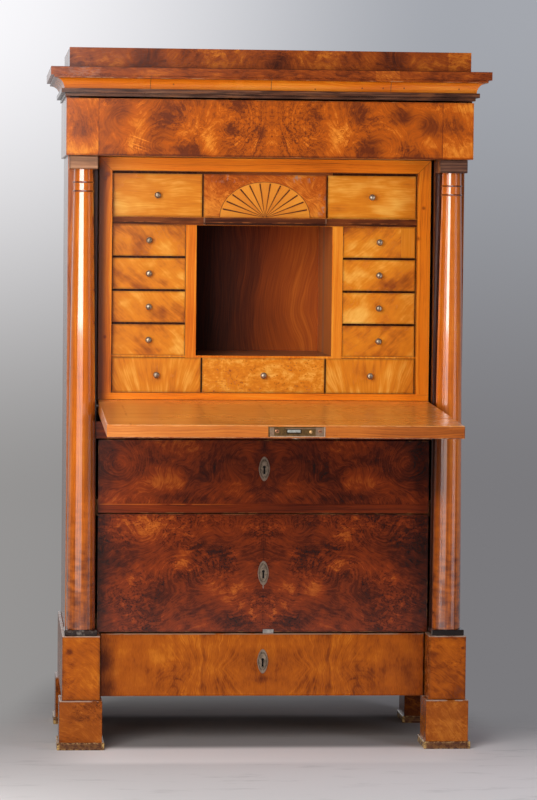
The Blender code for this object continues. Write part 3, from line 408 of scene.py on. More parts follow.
def lower_face(x, z):
    """Crotch veneer: on each side of the middle its lines spread up and down from a narrow waist."""
    u = abs(x - 0.008)
    sway = noise(u * 13, z * 13, 3) - 0.5
    waist = (u - 0.15 + sway * 0.035) / (abs(z - 0.176 + sway * 0.02) * 0.9 + 0.05)
    bands = lines(waist * 5) - 0.5
    silk = noise(waist * 42, z * 22, 2) - 0.5
    plume = smooth(abs(u - 0.14), 0.13, 0.03)
    bow = calc("SQRT", (u - 0.215) * (u - 0.215) + (z - 0.125) * (z - 0.125) * 1.6) + sway * 0.03
    arches = noise(bow * 90, sway * 3, 4, detail=3, rough=0.55) - 0.5
    reach = spot(point(u, z), (0.215, 0.14), 0.09)
    plain = noise(u * 60 + sway * 1.5, z * 7, 1, detail=3, rough=0.6) - 0.5
    cloud = noise(u * 13, z * 16, 8, detail=3) - 0.5
    pores = noise(u * 700, z * 90, 8, detail=1) - 0.5
    tone = bands * plume * 0.9 + silk * plume * 0.5 + arches * reach * 0.9 + plain * 0.6 + cloud + pores * 0.4 + 0.48
    fleck = smooth(noise(u * 90, z * 110, 5), 0.6, 0.7)
    tone = tone - fleck * spot(point(u, z), (0.2, 0.125), 0.05) * 0.35
    own = [(-0.365, 0.19, 0.045, -0.4), (-0.36, 0.14, 0.04, -0.3), (0.36, 0.17, 0.06, -0.2),
           (-0.3, 0.24, 0.03, -0.1), (0, 0.15, 0.02, -0.25), (-0.22, 0.2, 0.06, 0.14),
           (-0.12, 0.225, 0.04, 0.14), (0.2, 0.19, 0.06, 0.08)]
    tone = clouds(tone, point(x, z), own)
    # Darker towards the right: painted shade where the light falls off.
    return tone - smooth(abs(x - 0.008), 0.001, 0.0002) * 0.15 - smooth(x, 0, 0.36) * 0.08


def cornice_material(name):
    """Cornice by its heights: dark steps, a light cove, the plate edge above it and the burr attic."""
    x, y, z = wood(name)
    front = grain(x, z + y * 0.6, seed=1)
    cove = ramp(grain(x, z + y * 0.5, pitch=0.011, seed=2) + 0.1, ORANGE)
    plate_tone = figure(x, z * 2, pitch=0.009, lean=(0.25, 1), burr=0.4, seed=3)
    corona = ramp(plate_tone + band(x, 0.2319, 0.2838, 0.002) * 0.12 - 0.03, BURR_BROWN)
    grey = smooth(rubbing(x * 60, z * 220, y * 30), 0.4, 0.62)
    corona = mix(band(x, -0.45, -0.39, 0.01) * grey * 0.6, corona, "966854")
    place = point(x, z)
    attic_tone = figure(abs(x), z, [(0.3, 1.553, 0.05, 0.06), (0.02, 1.56, 0.07, -0.06)],
                        pitch=0.008, lean=(0.4, 0.8), burr=0.5, seed=6)
    dark = [(-0.2839, 1.5468, 0.06), (0.2786, 1.5549, 0.05), (0.0189, 1.5512, 0.04)]
    attic_tone = clouds(attic_tone, place, dark, -0.26) + smooth(x, 0.3995, 0.4005) * 0.2
    colour = ramp(front, STEP_WOOD)
    for foot, above in ((COVE_FOOT, cove), (CORONA_FOOT, corona), (ATTIC_FOOT, ramp(attic_tone, BURR_BROWN))):
        colour = mix(smooth(z, foot - 0.0002, foot + 0.0002), colour, above)
    cracks = least(*[abs(x - crack_x) for crack_x in (-0.2717, -0.0014, 0.2684)])
    crack = smooth(cracks, 0.0011, 0.0004) * band(z, 1.489, 1.5165, 0.0005)
    holes = [(-0.2203, 1.4998), (0.0978, 1.493), (0.2036, 1.4967), (0.2509, 1.4974), (0.2983, 1.498),
             (0.4228, 1.4975)]
    marks = most(crack, *[smooth(spot(place, hole, 0.003), 0.2, 0.6) for hole in holes])
    colour = mix(marks * 0.8, colour, "3c281e")
    # Painted shadow: a dark line in the crease at the foot of the attic.
    colour = mix(band(z, ATTIC_FOOT - 0.0001, ATTIC_FOOT + 0.0017, 0.0012) * 0.75, colour, "220e08")
    rub = smooth(rubbing(x * 26, z * 60, y * 20), 0.5, 0.6)
    colour = mix(band(z, CORONA_FOOT + 0.0002, CORONA_FOOT + 0.0012, 0.0005) * rub * 0.7, colour, "dea06c")
    joint = least(*[abs(z - height) for height in (COVE_FOOT, CORONA_FOOT, ATTIC_FOOT, COVE_FOOT - 0.0099)])
    colour = mix(smooth(joint, 0.0014, 0.0003) * 0.55, colour, LINE_DARK)
    top = smooth(z, TOP - 0.0003, TOP)
    colour = mix(top, colour, ramp(grain(x, y, seed=8), DARK_WOOD))
    # Painted shade: the cove darkens towards its foot.
    colour = mix(smooth(z, 1.5, 1.489) * smooth(z, COVE_FOOT - 0.0003, COVE_FOOT + 0.0001) * 0.35, colour, "783410")
    stain = noise(x * 16, z * 120, y * 10, detail=3)
    steps_only = smooth(z, COVE_FOOT + 0.0001, COVE_FOOT - 0.0003)
    colour = mix(smooth(stain, 0.5, 0.64) * steps_only * 0.6, colour, "261610")
    colour = mix(smooth(stain, 0.46, 0.36) * steps_only * 0.5, colour, "86502c")
    return polished(colour, front * 0.5 + attic_tone * 0.5 - crack, rough=0.22, wear=top)


def block_material(name, colours, seed, dark):
    """Pedestal or foot: burr on its faces, rubbed edges, and a dark strip round a foot's sole."""
    low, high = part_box(name)
    x, y, z = wood(name)
    tone = figure(x + y * 0.6, z, pitch=0.008, lean=(0.6, 0.8), burr=0.7, seed=seed)
    tone = clouds(tone, point(x, z), dark, -1)
    colour = worn_edge(ramp(tone, colours), edge_distance(name, x=x, z=z), width=0.0022)
    if name.startswith("foot_"):
        strip = ramp(grain(x, z, y, pitch=0.004, seed=seed) + 0.02, STEP_WOOD)
        rub = rubbing(x * 90, y * 90, z * 120)
        ends = least(x - low.x, high.x - x)
        strip = mix(smooth(rub, 0.4, 0.62) * 0.4, strip, "a0703c")
        strip = mix(smooth(z, 0.0125, 0.016) * smooth(rub, 0.48, 0.6) * 0.6, strip, "c49e68")
        strip = mix(smooth(ends, 0.008, 0.002) * smooth(rub, 0.4, 0.56) * 0.8, strip, "deb670")
        strip = mix(smooth(z, 0.004, 0.001) * smooth(rub, 0.45, 0.6) * 0.7, strip, "ba9660")
        colour = mix(smooth(z, 0.0168, 0.0174), strip, colour)
    rub = smooth(rubbing(x * 30, y * 30, z * 60), 0.4, 0.52)
    colour = mix(smooth(z, high.z - 0.0028, high.z - 0.0012) * rub * 0.75, colour, "baa490")
    return polished(colour, tone, coat=0, rough=0.2, shine=0.2)


def column_material(name, side):
    """Turned shaft: upright grain, a curl near its foot and dark lines at the neck's rings. Painted shade darkens the
    left column's far side, and a painted shadow of the flap falls across part of each column just below the flap.
    """
    x, y, z = wood(name)
    x, y = x - side * COLUMN_X, y - COLUMN_Y
    drift = noise(x * 14, y * 14, z * 2) - 0.5
    years = lines((x * 0.8 + y * 0.5 + drift * 0.02) / 0.005) - 0.5
    fibres = noise(x * 520, y * 520, z * 14, rough=0.6) - 0.5
    curl = noise(x * 45 + z * 14, y * 45, z * 85) - 0.5
    foot = smooth(z, 0.62, 0.36)
    cloud = noise(x * 14, y * 14, z * 5, detail=3) - 0.5
    tone = years * 0.6 + fibres * 0.4 + cloud * 0.7 + curl * (foot * 0.8 + 0.15) + 0.5 - foot * 0.16
    colour = mix(foot * 0.4, ramp(tone, COLUMN_WOOD), ramp(tone, FOOT_WOOD))
    rings = least(*[abs(z - height) for height in NECK_RINGS])
    colour = mix(smooth(rings, 0.0019, 0.0009) * 0.9, colour, "341a10")
    # Painted shade on the left column's side away from the light.
    painted_shade_far_side = smooth(x, 0.002, 0.028) * smooth(y, 0.03, -0.01)
    colour = mix(painted_shade_far_side * (0 if side > 0 else 0.5), colour, "70300e")
    # Painted shadow of the flap, just below the flap's level.
    low = band(z, 0.6, 0.75, 0.06) * smooth(x * side, 0.012, -0.022)
    colour = mix(low * (0.75 if side > 0 else 0.5), colour, "3a180a")
    return polished(colour, tone, coat=1, rough=0.14, shine=0.8, coat_rough=0.06, coat_ior=1.8)


def plain_material(name, axes, colours, arris=ARRIS_LIGHT, lift=0, **finish):
    """Plain board of one wood, with its grain along the first of its axes and its edges along the first two."""
    place = dict(zip("xyz", wood(name)))
    along, across, third = axes
    tone = grain(place[along], place[across], place[third], seed=len(name) * 1.7) + lift
    distance = edge_distance(name, **{along: place[along], across: place[across]})
    return polished(worn_edge(ramp(tone, colours), distance, arris), tone, **finish)


def side_material(name, side):
    """Side board: upright walnut veneer outside, a dark stile beside the column painted in shade, brown wood within.
    """
    x, y, z = wood(name)
    x = x * side
    tone = figure(y, z * 0.3, pitch=0.01, warp=0.03, lean=(1, 0.12), burr=0, seed=12 + side)
    outer = ramp(tone + 0.02, SIDE_WOOD)
    stile_tone = grain(z, x, seed=3)
    # Painted shade: the stile face between the column and the opening is much darker than the same stile outside the
    # column.
    stile = ramp(stile_tone, STILE_WOOD_PAINTED_SHADE)
    stile = mix(smooth(x, COLUMN_X - 0.01, COLUMN_X + 0.01), stile, ramp(stile_tone, CROTCH))
    front = smooth(y, FACE_Y + 0.0012, FACE_Y + 0.0006) * smooth(z, 1.3392, 1.3385)
    colour = mix(smooth(x, 0.4505, 0.45), outer, ramp(grain(z, y, seed=6), DARK_WOOD))
    colour = mix(front, colour, stile)
    arris = smooth(most(abs(x - 0.4518), abs(y - FACE_Y)), 0.004, 0.001)
    rub = smooth(rubbing(z * 30, y * 30, x * 30), 0.35, 0.6)
    return polished(mix(arris * rub * 0.7, colour, "be7854"), tone, coat=0.45, rough=0.2)


def frame_material(name):
    """Face frame of the writing compartment, mitred at its top corners. All but the left stile take a lighter copy of
    its wood as painted light, and the left stile carries a painted shadow of the column.
    """
    low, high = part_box(name)
    x, y, z = wood(name)
    u = abs(x)
    mitre = (high.z - z) - (high.x - u)
    rail = grain(x, z, y, pitch=0.006, seed=2)
    stile = grain(z, x, y, pitch=0.006, seed=7)
    level = most(smooth(mitre, 0.0006, -0.0006), smooth(z, low.z + 0.016, low.z + 0.0152))
    knots = [(-0.3655, 1.2905, 0.007), (0.364, 1.23, 0.006), (-0.365, 0.93, 0.006), (0.352, 1.16, 0.008),
             (-0.36, 1.3, 0.01)]
    tone = clouds(stile + (rail - stile) * level, point(x, z), knots, -0.45)
    # Painted light: a lighter copy of the frame's wood everywhere but on the left stile.
    colour = mix(smooth(x, -0.366, -0.352), ramp(tone, FRAME_WOOD), ramp(tone, FRAME_WOOD_PAINTED_LIT))
    # Painted shadow of the left column, darkest at the stile's outer side.
    shade = smooth(x, -0.36, -0.374) * smooth(z, 1.335, 1.31)
    colour = mix(shade * 0.74, colour, "3a140b")
    joint = smooth(abs(mitre) * 0.7, 0.0007, 0.0002) * smooth(z, high.z - 0.031, high.z - 0.03)
    colour = mix(joint * 0.55, colour, LINE_DARK)
    inner = abs(most(u - FRAME_HALF_OPENING, z - FRAME_OPENING_HEAD, FRAME_OPENING_FOOT - z))
    colour = mix(smooth(inner, 0.0022, 0.0004) * 0.5, colour, LINE_DARK)
    return polished(colour, tone, rough=0.2)


def case_material(name):
    """Nest of cells: light pilasters in front, and red brown boards in the niche and the cells. The niche is painted
    in shade at its left and lighter towards its right, and the pilasters are painted lighter towards the right.
    """
    x, y, z = wood(name)
    # Painted light: the pilaster lightens towards the right.
    pilaster = ramp(grain(z, x, seed=5) + 0.06 + smooth(x, 0, 0.16) * 0.16, ORANGE)
    strip = band(z, 0.882, 0.888, 0.0002) * smooth(abs(x), 0.178, 0.182)
    pilaster = mix(strip, pilaster, ramp(grain(z, x, seed=2) + 0.02, HONEY))
    pilaster = mix(strip * band(z, 0.8823, 0.8838, 0.0008) * 0.7, pilaster, LINE_DARK)
    wave = noise(x * 9, z * 5, y * 9) - 0.5
    path = x + wave * 0.04 + spot(point(x, z * 0.8), (0.07, 0.8), 0.16) * 0.035
    years = lines(path / 0.0095, detail=2, rough=0.5) - 0.5
    fibres = noise(path * 420, z * 12, y * 420) - 0.5
    wide = noise(path * 26, z * 2.5, 3) - 0.5
    # Painted light: the niche's back lightens towards the right.
    back_tone = years * 0.12 + fibres * 0.4 + wide * 0.3 + smooth(x, -0.06, 0.12) * 0.3 + 0.26
    wall = ramp(grain(z, y, seed=9) + 0.26, NICHE_WOOD)
    wall = mix(band(y, 0.3, 0.33, 0.004) * 0.5 + 0.15, wall, "967660")
    niche = mix(smooth(y, NICHE_BACK - 0.0014, NICHE_BACK - 0.0006), wall, ramp(back_tone, NICHE_WOOD))
    niche = mix(smooth(z, NICHE_FOOT + 0.001, NICHE_FOOT + 0.0004) * 0.6, niche, "705442")
    # Painted shade: the left of the niche goes near black.
    niche = mix(smooth(x, -0.03, -0.13) * 0.7, niche, "0e0705")
    cell_wood = ramp(grain(y, x, z, seed=11) - 0.06, DARK_WOOD)
    colour = mix(smooth(abs(x), NICHE_HALF + 0.0012, NICHE_HALF + 0.0004), cell_wood, niche)
    colour = mix(smooth(y, NEST_FACE + 0.0014, NEST_FACE + 0.0006), colour, pilaster)
    return polished(colour, back_tone, coat=0, rough=0.3, shine=0.2)


def small_face(kind, side, seed):
    """Front of a small drawer: plain, flamed across, spreading, or bird's eye."""
    # Painted light: drawers on the right are lifted and those on the left darkened, as the left of the nest lies in
    # shade.
    painted_light_by_side = 0.03 if side > 0 else -0.02

    def plain(x, z):
        x = x * side
        wave = noise(x * 7 + seed, z * 16, seed) - 0.5
        level = z + wave * 0.025
        streaks = noise(x * 8 + seed, level * 85, seed, detail=3, rough=0.6) - 0.5
        fibres = noise(x * 18, level * 420, seed) - 0.5
        cloud = noise(x * 11 - seed, z * 24, seed, detail=3) - 0.5
        return streaks * 0.45 + fibres * 0.35 + cloud + 0.58 + painted_light_by_side

    def flamed(x, z):
        u = x * side
        wave = noise(u * 10 + seed, z * 13, seed) - 0.5
        slant = z - u * 0.95 + wave * 0.045
        along = z + u
        flame = noise(slant * 40 + seed, along * 8, seed) - 0.5
        cloud = noise(u * 19 + seed, z * 24, seed + 2, detail=3, rough=0.6) - 0.5
        silk = noise(slant * 240, along * 22, seed) - 0.5
        wash = noise(u * 6 + seed, z * 9, seed + 6, detail=1) - 0.5
        tone = flame * 0.6 + cloud * 0.8 + silk * 0.3 + wash * 1.3 + 0.52 + painted_light_by_side
        if seed != 9:
            return tone
        upright = noise(u * 260, z * 9, seed) * 0.6 + 0.24
        end = smooth(u, 0.3145, 0.3155)
        return tone + (upright - tone) * end - smooth(abs(u - 0.315), 0.001, 0.0003) * 0.2

    def spreading(x, z):
        u = abs(abs(x) - 0.245)
        wave = noise(x * 14 + seed, z * 7, seed) - 0.5
        slant = u / (z - 0.62) * 0.22 + wave * 0.02
        flame = noise(slant * 75 + seed, z * 9, seed) - 0.5
        silk = noise(slant * 420, z * 22, seed) - 0.5
        cloud = noise(x * 16 + seed, z * 12, seed, detail=3) - 0.5
        return flame * 0.8 + silk * 0.4 + cloud * 0.8 + 0.54 + painted_light_by_side

    def birds_eye(x, z):
        wave = noise(x * 30, z * 30, seed) - 0.5
        eyes = cells(x * 130 + wave * 1.6, z * 150 + wave * 1.6, seed)
        place = noise(x * 70 + wave, z * 100, seed, detail=3, rough=0.65) - 0.5
        broad = noise(x * 22, z * 30, seed + 3) - 0.5
        patch = noise(x * 12, z * 12, seed + 4, detail=1)
        return place + broad * 0.7 + 0.58 - smooth(eyes, 0.3, 0.08) * patch * 0.55

    return {"plain": plain, "flamed": flamed, "spreading": spreading, "birds_eye": birds_eye}[kind]


def moulding_material(name):
    """Dark moulding of the nest: rubbed and given painted highlights along its step, its top and its mitres, with
    painted shade just under its step.
    """
    low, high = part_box(name)
    x, y, z = wood(name)
    tone = grain(x, z, y, pitch=0.004, seed=5) - 0.06
    colour = ramp(tone, DARK_WOOD)
    worn = smooth(rubbing(x * 34, z * 160, y * 60), 0.44, 0.6)
    step = low.z + (high.z - low.z) / 3
    # The light arris along the step and the top edge is partly rubbed wear and partly a painted highlight.
    ridge = most(band(z, step - 0.0002, step + 0.0012, 0.0006), smooth(z, high.z - 0.0016, high.z - 0.0004))
    colour = mix(ridge * worn * 0.75, colour, "b06832")
    # Painted highlight down each mitre of the break.
    colour = mix(smooth(abs(abs(x) - 0.1395), 0.0022, 0.0008) * 0.5, colour, "a67e64")
    # Painted shade in the band just under the step.
    colour = mix(band(z, step - 0.0034, step - 0.001, 0.0008) * 0.6, colour, "1e0d07")
    wing = smooth(abs(x), 0.139, 0.142) * smooth(noise(x * 9, z * 90, 1), 0.42, 0.6)
    colour = mix(wing * 0.45, colour, "964c1e")
    return polished(colour, tone, coat=0, rough=0.3, shine=0.15)


def fan_panel_material(name):
    """Burr panel round the fan, scuffed grey along its top and at its right end."""
    x, y, z = wood(name)
    tone = figure(x, z, [(-0.11, 1.275, 0.03, 0.03), (0.115, 1.27, 0.03, 0.03)],
                  pitch=0.006, warp=0.04, lean=(0.6, 0.8), burr=0.7, seed=14) + 0.14
    colour = ramp(tone, BURR_GOLD)
    top = smooth(z, 1.281, 1.298) * smooth(abs(abs(x) - 0.085), 0.05, 0.02)
    ends = smooth(x, 0.118, 0.132) * smooth(z, 1.29, 1.22)
    worn = most(top, ends * 0.8) * smooth(rubbing(x * 95, z * 45, 2), 0.52, 0.64)
    colour = worn_edge(mix(worn * 0.8, colour, "9e8676"), edge_distance(name, x=x, z=z), ARRIS_GREY)
    return polished(colour, tone, coat=0.25, rough=0.22, wear=worn)


def flap_material(name):
    """Flap: plain sheets with cross seams on its writing side, straight grain on its edge, burr outside."""
    x, y, z = wood(name)
    across = (FLAP_PIVOT[0] - y) * DROOP_COS - (z - FLAP_PIVOT[1]) * DROOP_SIN
    level = (z - FLAP_PIVOT[1]) * DROOP_COS + (FLAP_PIVOT[0] - y) * DROOP_SIN
    top_tone = grain(x, across, pitch=0.016, wander=0.02, seed=3)
    seams = []
    for seam_x in (-0.33, -0.1585, -0.0195, 0.0855, 0.1425, 0.2665):
        ragged = noise(across * 60, seam_x) - 0.5
        seams.append(smooth(abs(x - seam_x + ragged * 0.004), 0.0035, 0.0005))
    top_tone = top_tone - most(*seams) * smooth(noise(x * 20, across * 14, 1), 0.35, 0.65) * 0.35
    # The edge darkens towards the right: painted shade where the light falls off.
    edge_tone = grain(x, level, pitch=0.006, seed=8) - 0.01 - smooth(x, -0.1, 0.38) * 0.26
    eyes = [(0.2, 0.2, 0.1, 0.08), (0.1, 0.38, 0.09, -0.08), (0.28, 0.42, 0.08, 0.07), (0.06, 0.12, 0.08, 0.06)]
    under_tone = figure(abs(x), across, eyes, pitch=0.01, lean=(0.45, 0.8), burr=0.8, seed=16)
    colour = mix(smooth(level, 0.0122, 0.0128), ramp(edge_tone, FLAP_WOOD), ramp(top_tone + 0.3, FLAP_WOOD))
    colour = mix(smooth(level, -0.0122, -0.0128), colour, ramp(under_tone, BURR_RED))
    corner = most(abs(abs(level) - FLAP_HALF_THICK), abs(across - FLAP_HEAD))
    rub = smooth(corner, 0.0032, 0.0008) * smooth(rubbing(x * 50, y * 50, z * 50), 0.4, 0.62)
    colour = mix(rub * 0.6, colour, "e8a468")
    below = smooth(level, -0.012, -0.0128)
    tone = top_tone + (under_tone - top_tone) * below
    return polished(colour, tone, coat=0.5, rough=0.24, depth=0.00003, shine=0.5, coat_rough=0.24)


def metal_material(name, dark, light, spotting, rough, plate=None):
    """Old metal with dark tarnish in spots. Plate is the height of the middle of a key plate."""
    x, y, z = Graph("metal_" + name).place
    cloud = noise(x * 120, y * 120, z * 120, detail=4, rough=0.65)
    fleck = noise(x * 700, y * 700, z * 700)
    tarnish = smooth(cloud * 0.7 + fleck * 0.3, 0.34, 0.66)
    colour = mix(tarnish * spotting, light, dark)
    if plate is not None:
        across, height = x / PLATE_HALF_WIDTH, (z - plate) / PLATE_HALF_HEIGHT
        reach = calc("SQRT", across * across + height * height)
        colour = mix(band(reach, 0.66, 0.76, 0.05) * 0.6, colour, dark)
        colour = mix(smooth(reach, 0.8, 0.88) * 0.7, colour, light)
        # Painted shade: the keyhole's slot and ring are near black.
        slot = smooth(abs(x), 0.0025, 0.0018) * band(z, plate - 0.012, plate + 0.004, 0.0004)
        ring = smooth(spot(point(x, z), (0, plate + 0.004), 0.0055), 0.25, 0.45)
        colour = mix(most(slot, ring), colour, "0e0a08")
    return surface(colour, tarnish * 0.2 + rough, cloud + fleck * 0.4, 0.0001, metal=0.75)


def back_material(name):
    """Back of bare boards side by side."""
    x, y, z = wood(name)
    plank = (x + 0.43) / 0.1435
    number = calc("FLOOR", plank)
    tone = grain(z, x, number * 1.7, pitch=0.012, seed=2) + lines(number * 5.3, detail=0) * 0.25 - 0.12
    gap = least(plank - number, number + 1 - plank)
    colour = mix(smooth(gap, 0.012, 0.004), ramp(tone, INNER_WOOD), LINE_DARK)
    return surface(colour, 0.62 + tone * 0.2, tone - smooth(gap, 0.02, 0), 0.0006)


def dress(name, make, *values, **settings):
    """Puts a material made for it on a node of the cabinet."""
    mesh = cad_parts[name].data
    mesh.materials.clear()
    mesh.materials.append(make(name, *values, **settings))


def dress_small_drawer(name, kind, side, seed):
    """Small drawer and its knob."""
    dress(name, drawer_material, small_face(kind, side, seed), HONEY, thick=0.012, coat=0.25, rough=0.22)
    dress(name.replace("drawer", "knob"), metal_material, "463a2e", "baa890", 0.7, 0.24)


def dress_cabinet():
    """A material for every node."""
    single = {
        "cornice": cornice_material, "flap": flap_material, "interior_frame": frame_material,
        "interior_case": case_material, "fan_panel": fan_panel_material, "interior_moulding": moulding_material,
        "back_panel": back_material,
    }
    for name, make in single.items():
        dress(name, make)
    dress("drawer_frieze", drawer_material, frieze_face, BURR_GOLD, thick=0.028)
    large = {
        "upper": (upper_face, BURR_RED, {"proud": 0.004}),
        "middle": (middle_face, BURR_RED, {}),
        "lower": (lower_face, CROTCH, {"arris": ARRIS_GREY, "ridge": 0.75, "coat": 0, "shine": 0.2}),
    }
    for word, (face, colours, settings) in large.items():
        height = PLATE_HEIGHTS[word]
        dress("drawer_" + word, drawer_material, face, colours, keyhole=height, **settings)
        dress("escutcheon_" + word, metal_material, "544434", "bca690", 0.85, 0.28, height)
    dress("flap_lock", metal_material, "46321c", "806036", 0.8, 0.4)
    blocks = {"pedestal": (CROTCH, 3), "foot_front": (FOOT_WOOD, 8), "foot_rear": (FOOT_WOOD, 18)}
    dark = {
        "pedestal_left": [(-0.444, 0.2221, 0.012, 0.4)],
        "pedestal_right": [(0.4523, 0.23, 0.006, 0.5), (0.42, 0.19, 0.2, 0.14)],
        "foot_front_right": [(0.42, 0.06, 0.2, -0.16)],
        "foot_rear_right": [(0.42, 0.06, 0.3, 0.35)],
    }
    small = {
        "drawer_top_{}": "plain", "drawer_bottom_{}": "spreading", "drawer_{}_1": "flamed", "drawer_{}_2": "flamed",
        "drawer_{}_3": "flamed", "drawer_{}_4": "flamed",
    }
    for word, side in (("left", -1), ("right", 1)):
        dress("side_" + word, side_material, side)
        dress("column_" + word, column_material, side)
        for kind, (colours, seed) in blocks.items():
            name = f"{kind}_{word}"
            dress(name, block_material, colours, seed + side, dark.get(name, ()))
        for number, (name, kind) in enumerate(small.items()):
            dress_small_drawer(name.format(word), kind, side, 4 * number + side)
    dress_small_drawer("drawer_bottom_centre", "birds_eye", 1, 2)
    dress("column_plinth_left", plain_material, "xyz", BLACK_WOOD, "968a80", coat=0.2)
    dress("column_plinth_right", plain_material, "xzy", BLACK_WOOD, "968a80", lift=-0.2, coat=0.2)
    dress("abacus_left", plain_material, "xzy", ABACUS_WOOD, coat=0, rough=0.4)
    dress("abacus_right", plain_material, "xzy", STEP_WOOD, lift=0.02, coat=0, rough=0.4)
    for name in ("bottom_board", "dust_board_lower", "dust_board_upper", "frieze_floor"):
        dress(name, plain_material, "xyz", INNER_WOOD, coat=0, rough=0.6)
    dress("desk_floor", plain_material, "xzy", BURR_RED, coat=0.2)


def add_object(name, data):
    made = bpy.data.objects.new(name, data)
    bpy.context.scene.collection.objects.link(made)
    return made


def add_piece(name, shape, material):
    """Ends a mesh in the making as an object of the scene."""
    mesh = bpy.data.meshes.new(name)
    shape.to_mesh(mesh)
    shape.free()
    mesh.materials.append(material)
    return add_object(name, mesh)


def fitting(name, solids, material, body):
    """Piece of closed solids that rides a body. Each solid is a list of rings with as many points in each."""
    shape = bmesh.new()
    for rings in solids:
        made = [[shape.verts.new(corner) for corner in ring] for ring in rings]
        for first, second in zip(made, made[1:]):
            for step in range(len(first)):
                shape.faces.new((first[step - 1], first[step], second[step], second[step - 1]))
        shape.faces.new(made[0][::-1])
        shape.faces.new(made[-1])
    bmesh.ops.recalc_face_normals(shape, faces=shape.faces)
    piece = add_piece(name, shape, material)
    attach(piece, body)


def lofted(name, place, rings, material, body):
    """Fitting through rings of (u, v, out), which place puts in the world."""
    fitting(name, [[[place(*corner) for corner in ring] for ring in rings]], material, body)


def fan_point(angle, size=1):
    return FAN_HALF_WIDTH * math.cos(angle) * size, FAN_FOOT + FAN_HEIGHT * math.sin(angle) * size


def fan_ray(angle):
    """Tapered ray from near the foot of the fan to just inside its arc, wider outwards, with a round end."""
    start, end = Vector(fan_point(angle, 0.03)), Vector(fan_point(angle, 0.955))
    along = (end - start).normalized()
    aside = Vector((-along.y, along.x))
    turns = [math.pi * step / 6 for step in range(6, -1, -1)]
    rounding = [end + (along * math.sin(turn) + aside * math.cos(turn)) * 0.0017 for turn in turns]
    return [start - aside * 0.0003, *rounding, start + aside * 0.0003]


def fan_line_material(name):
    """Dark wood of the line round the fan and of its rays."""
    x, y, z = wood(name)
    tone = grain(x, z, pitch=0.003)
    return polished(ramp(tone, DARK_WOOD), tone, coat=0, rough=0.3, shine=0.2)


def fan_field_material(name):
    """Pale sheets of the fan: each has its own tone, and fibres that spread from the fan's foot."""
    x, y, z = wood(name)
    height = z - FAN_FOOT
    angle = calc("ARCTAN2", height * (FAN_HALF_WIDTH / FAN_HEIGHT), x)
    turn = angle * (FAN_SEGMENTS / math.pi)
    number = calc("FLOOR", turn)
    reach = calc("SQRT", x * x + height * height * 1.6)
    fibre = noise(angle * 60, reach * 40, number, detail=3, rough=0.6) - 0.5
    shade = smooth(abs(turn - number - 0.5), 0.2, 0.5)
    tone = fibre * 0.7 + lines(number * 3.7, detail=0) * 0.3 + reach * 2.4 + 0.16 - shade * 0.14
    return polished(ramp(tone, PALE_INLAY), tone, coat=0.25, rough=0.24)


def fan_inlay():
    """Half fan: a light half oval with a thin dark line round it and twelve dark rays."""
    arc = [math.pi * step / 60 for step in range(61)]
    rim, field = [fan_point(turn, 1.012) for turn in arc], [fan_point(turn) for turn in arc]
    rays = [fan_ray(math.pi * number / FAN_SEGMENTS) for number in range(1, FAN_SEGMENTS)]
    for name, outlines, depths, make in (
        ("fan_line", [rim], (-0.0001, 0.001), fan_line_material),
        ("fan_field", [field], (-0.00018, -0.00005), fan_field_material),
        ("fan_rays", rays, (-0.00026, -0.0001), fan_line_material),
    ):
        solids = [[[(x, NEST_FACE + depth, z) for x, z in outline] for depth in depths] for outline in outlines]
        fitting(name, solids, make(name), "cabinet")


def flap_point(u, reach, level):
    """Point on the flap: u across, reach from its pins towards its free edge, level above its middle."""
    y = FLAP_PIVOT[0] - DROOP_COS * reach - DROOP_SIN * level
    return u, y, FLAP_PIVOT[1] - DROOP_SIN * reach + DROOP_COS * level


def on_flap_edge(u, w, out):
    """Point on the flap's free edge: u along it, w up its thickness from the middle, out beyond the edge."""
    return flap_point(u, FLAP_HEAD + out, w)


def under_flap(u, v, out):
    """Point below the flap: u across, v towards its free edge from the key plate's middle, out below its face."""
    return flap_point(u, FLAP_HEAD - 0.031 + v, -FLAP_HALF_THICK - out)


def ovals(centre, sizes, points, point_share=0):
    """Rings for an oval piece: each size is (half width, half height, out). Its ends narrow by the point share."""
    rings = []
    for half_width, half_height, out in sizes:
        ring = []
        for step in range(points):
            turn = 2 * math.pi * step / points
            u = math.cos(turn) * half_width * (1 - point_share * abs(math.sin(turn)))
            ring.append((centre[0] + u, centre[1] + math.sin(turn) * half_height, out))
        rings.append(ring)
    return rings


def discs(centre, sizes, points):
    """Rings for a round piece: each size is (radius, out)."""
    return ovals(centre, [(radius, radius, out) for radius, out in sizes], points)


def bars(low, high, height, bevel=0.0004):
    """Rings for a low rectangular bar with bevelled edges."""
    def ring(inset, out):
        return [(low[0] + inset, low[1] + inset, out), (high[0] - inset, low[1] + inset, out),
                (high[0] - inset, high[1] - inset, out), (low[0] + inset, high[1] - inset, out)]

    return [ring(0, -0.0004), ring(0, height - bevel), ring(bevel, height)]


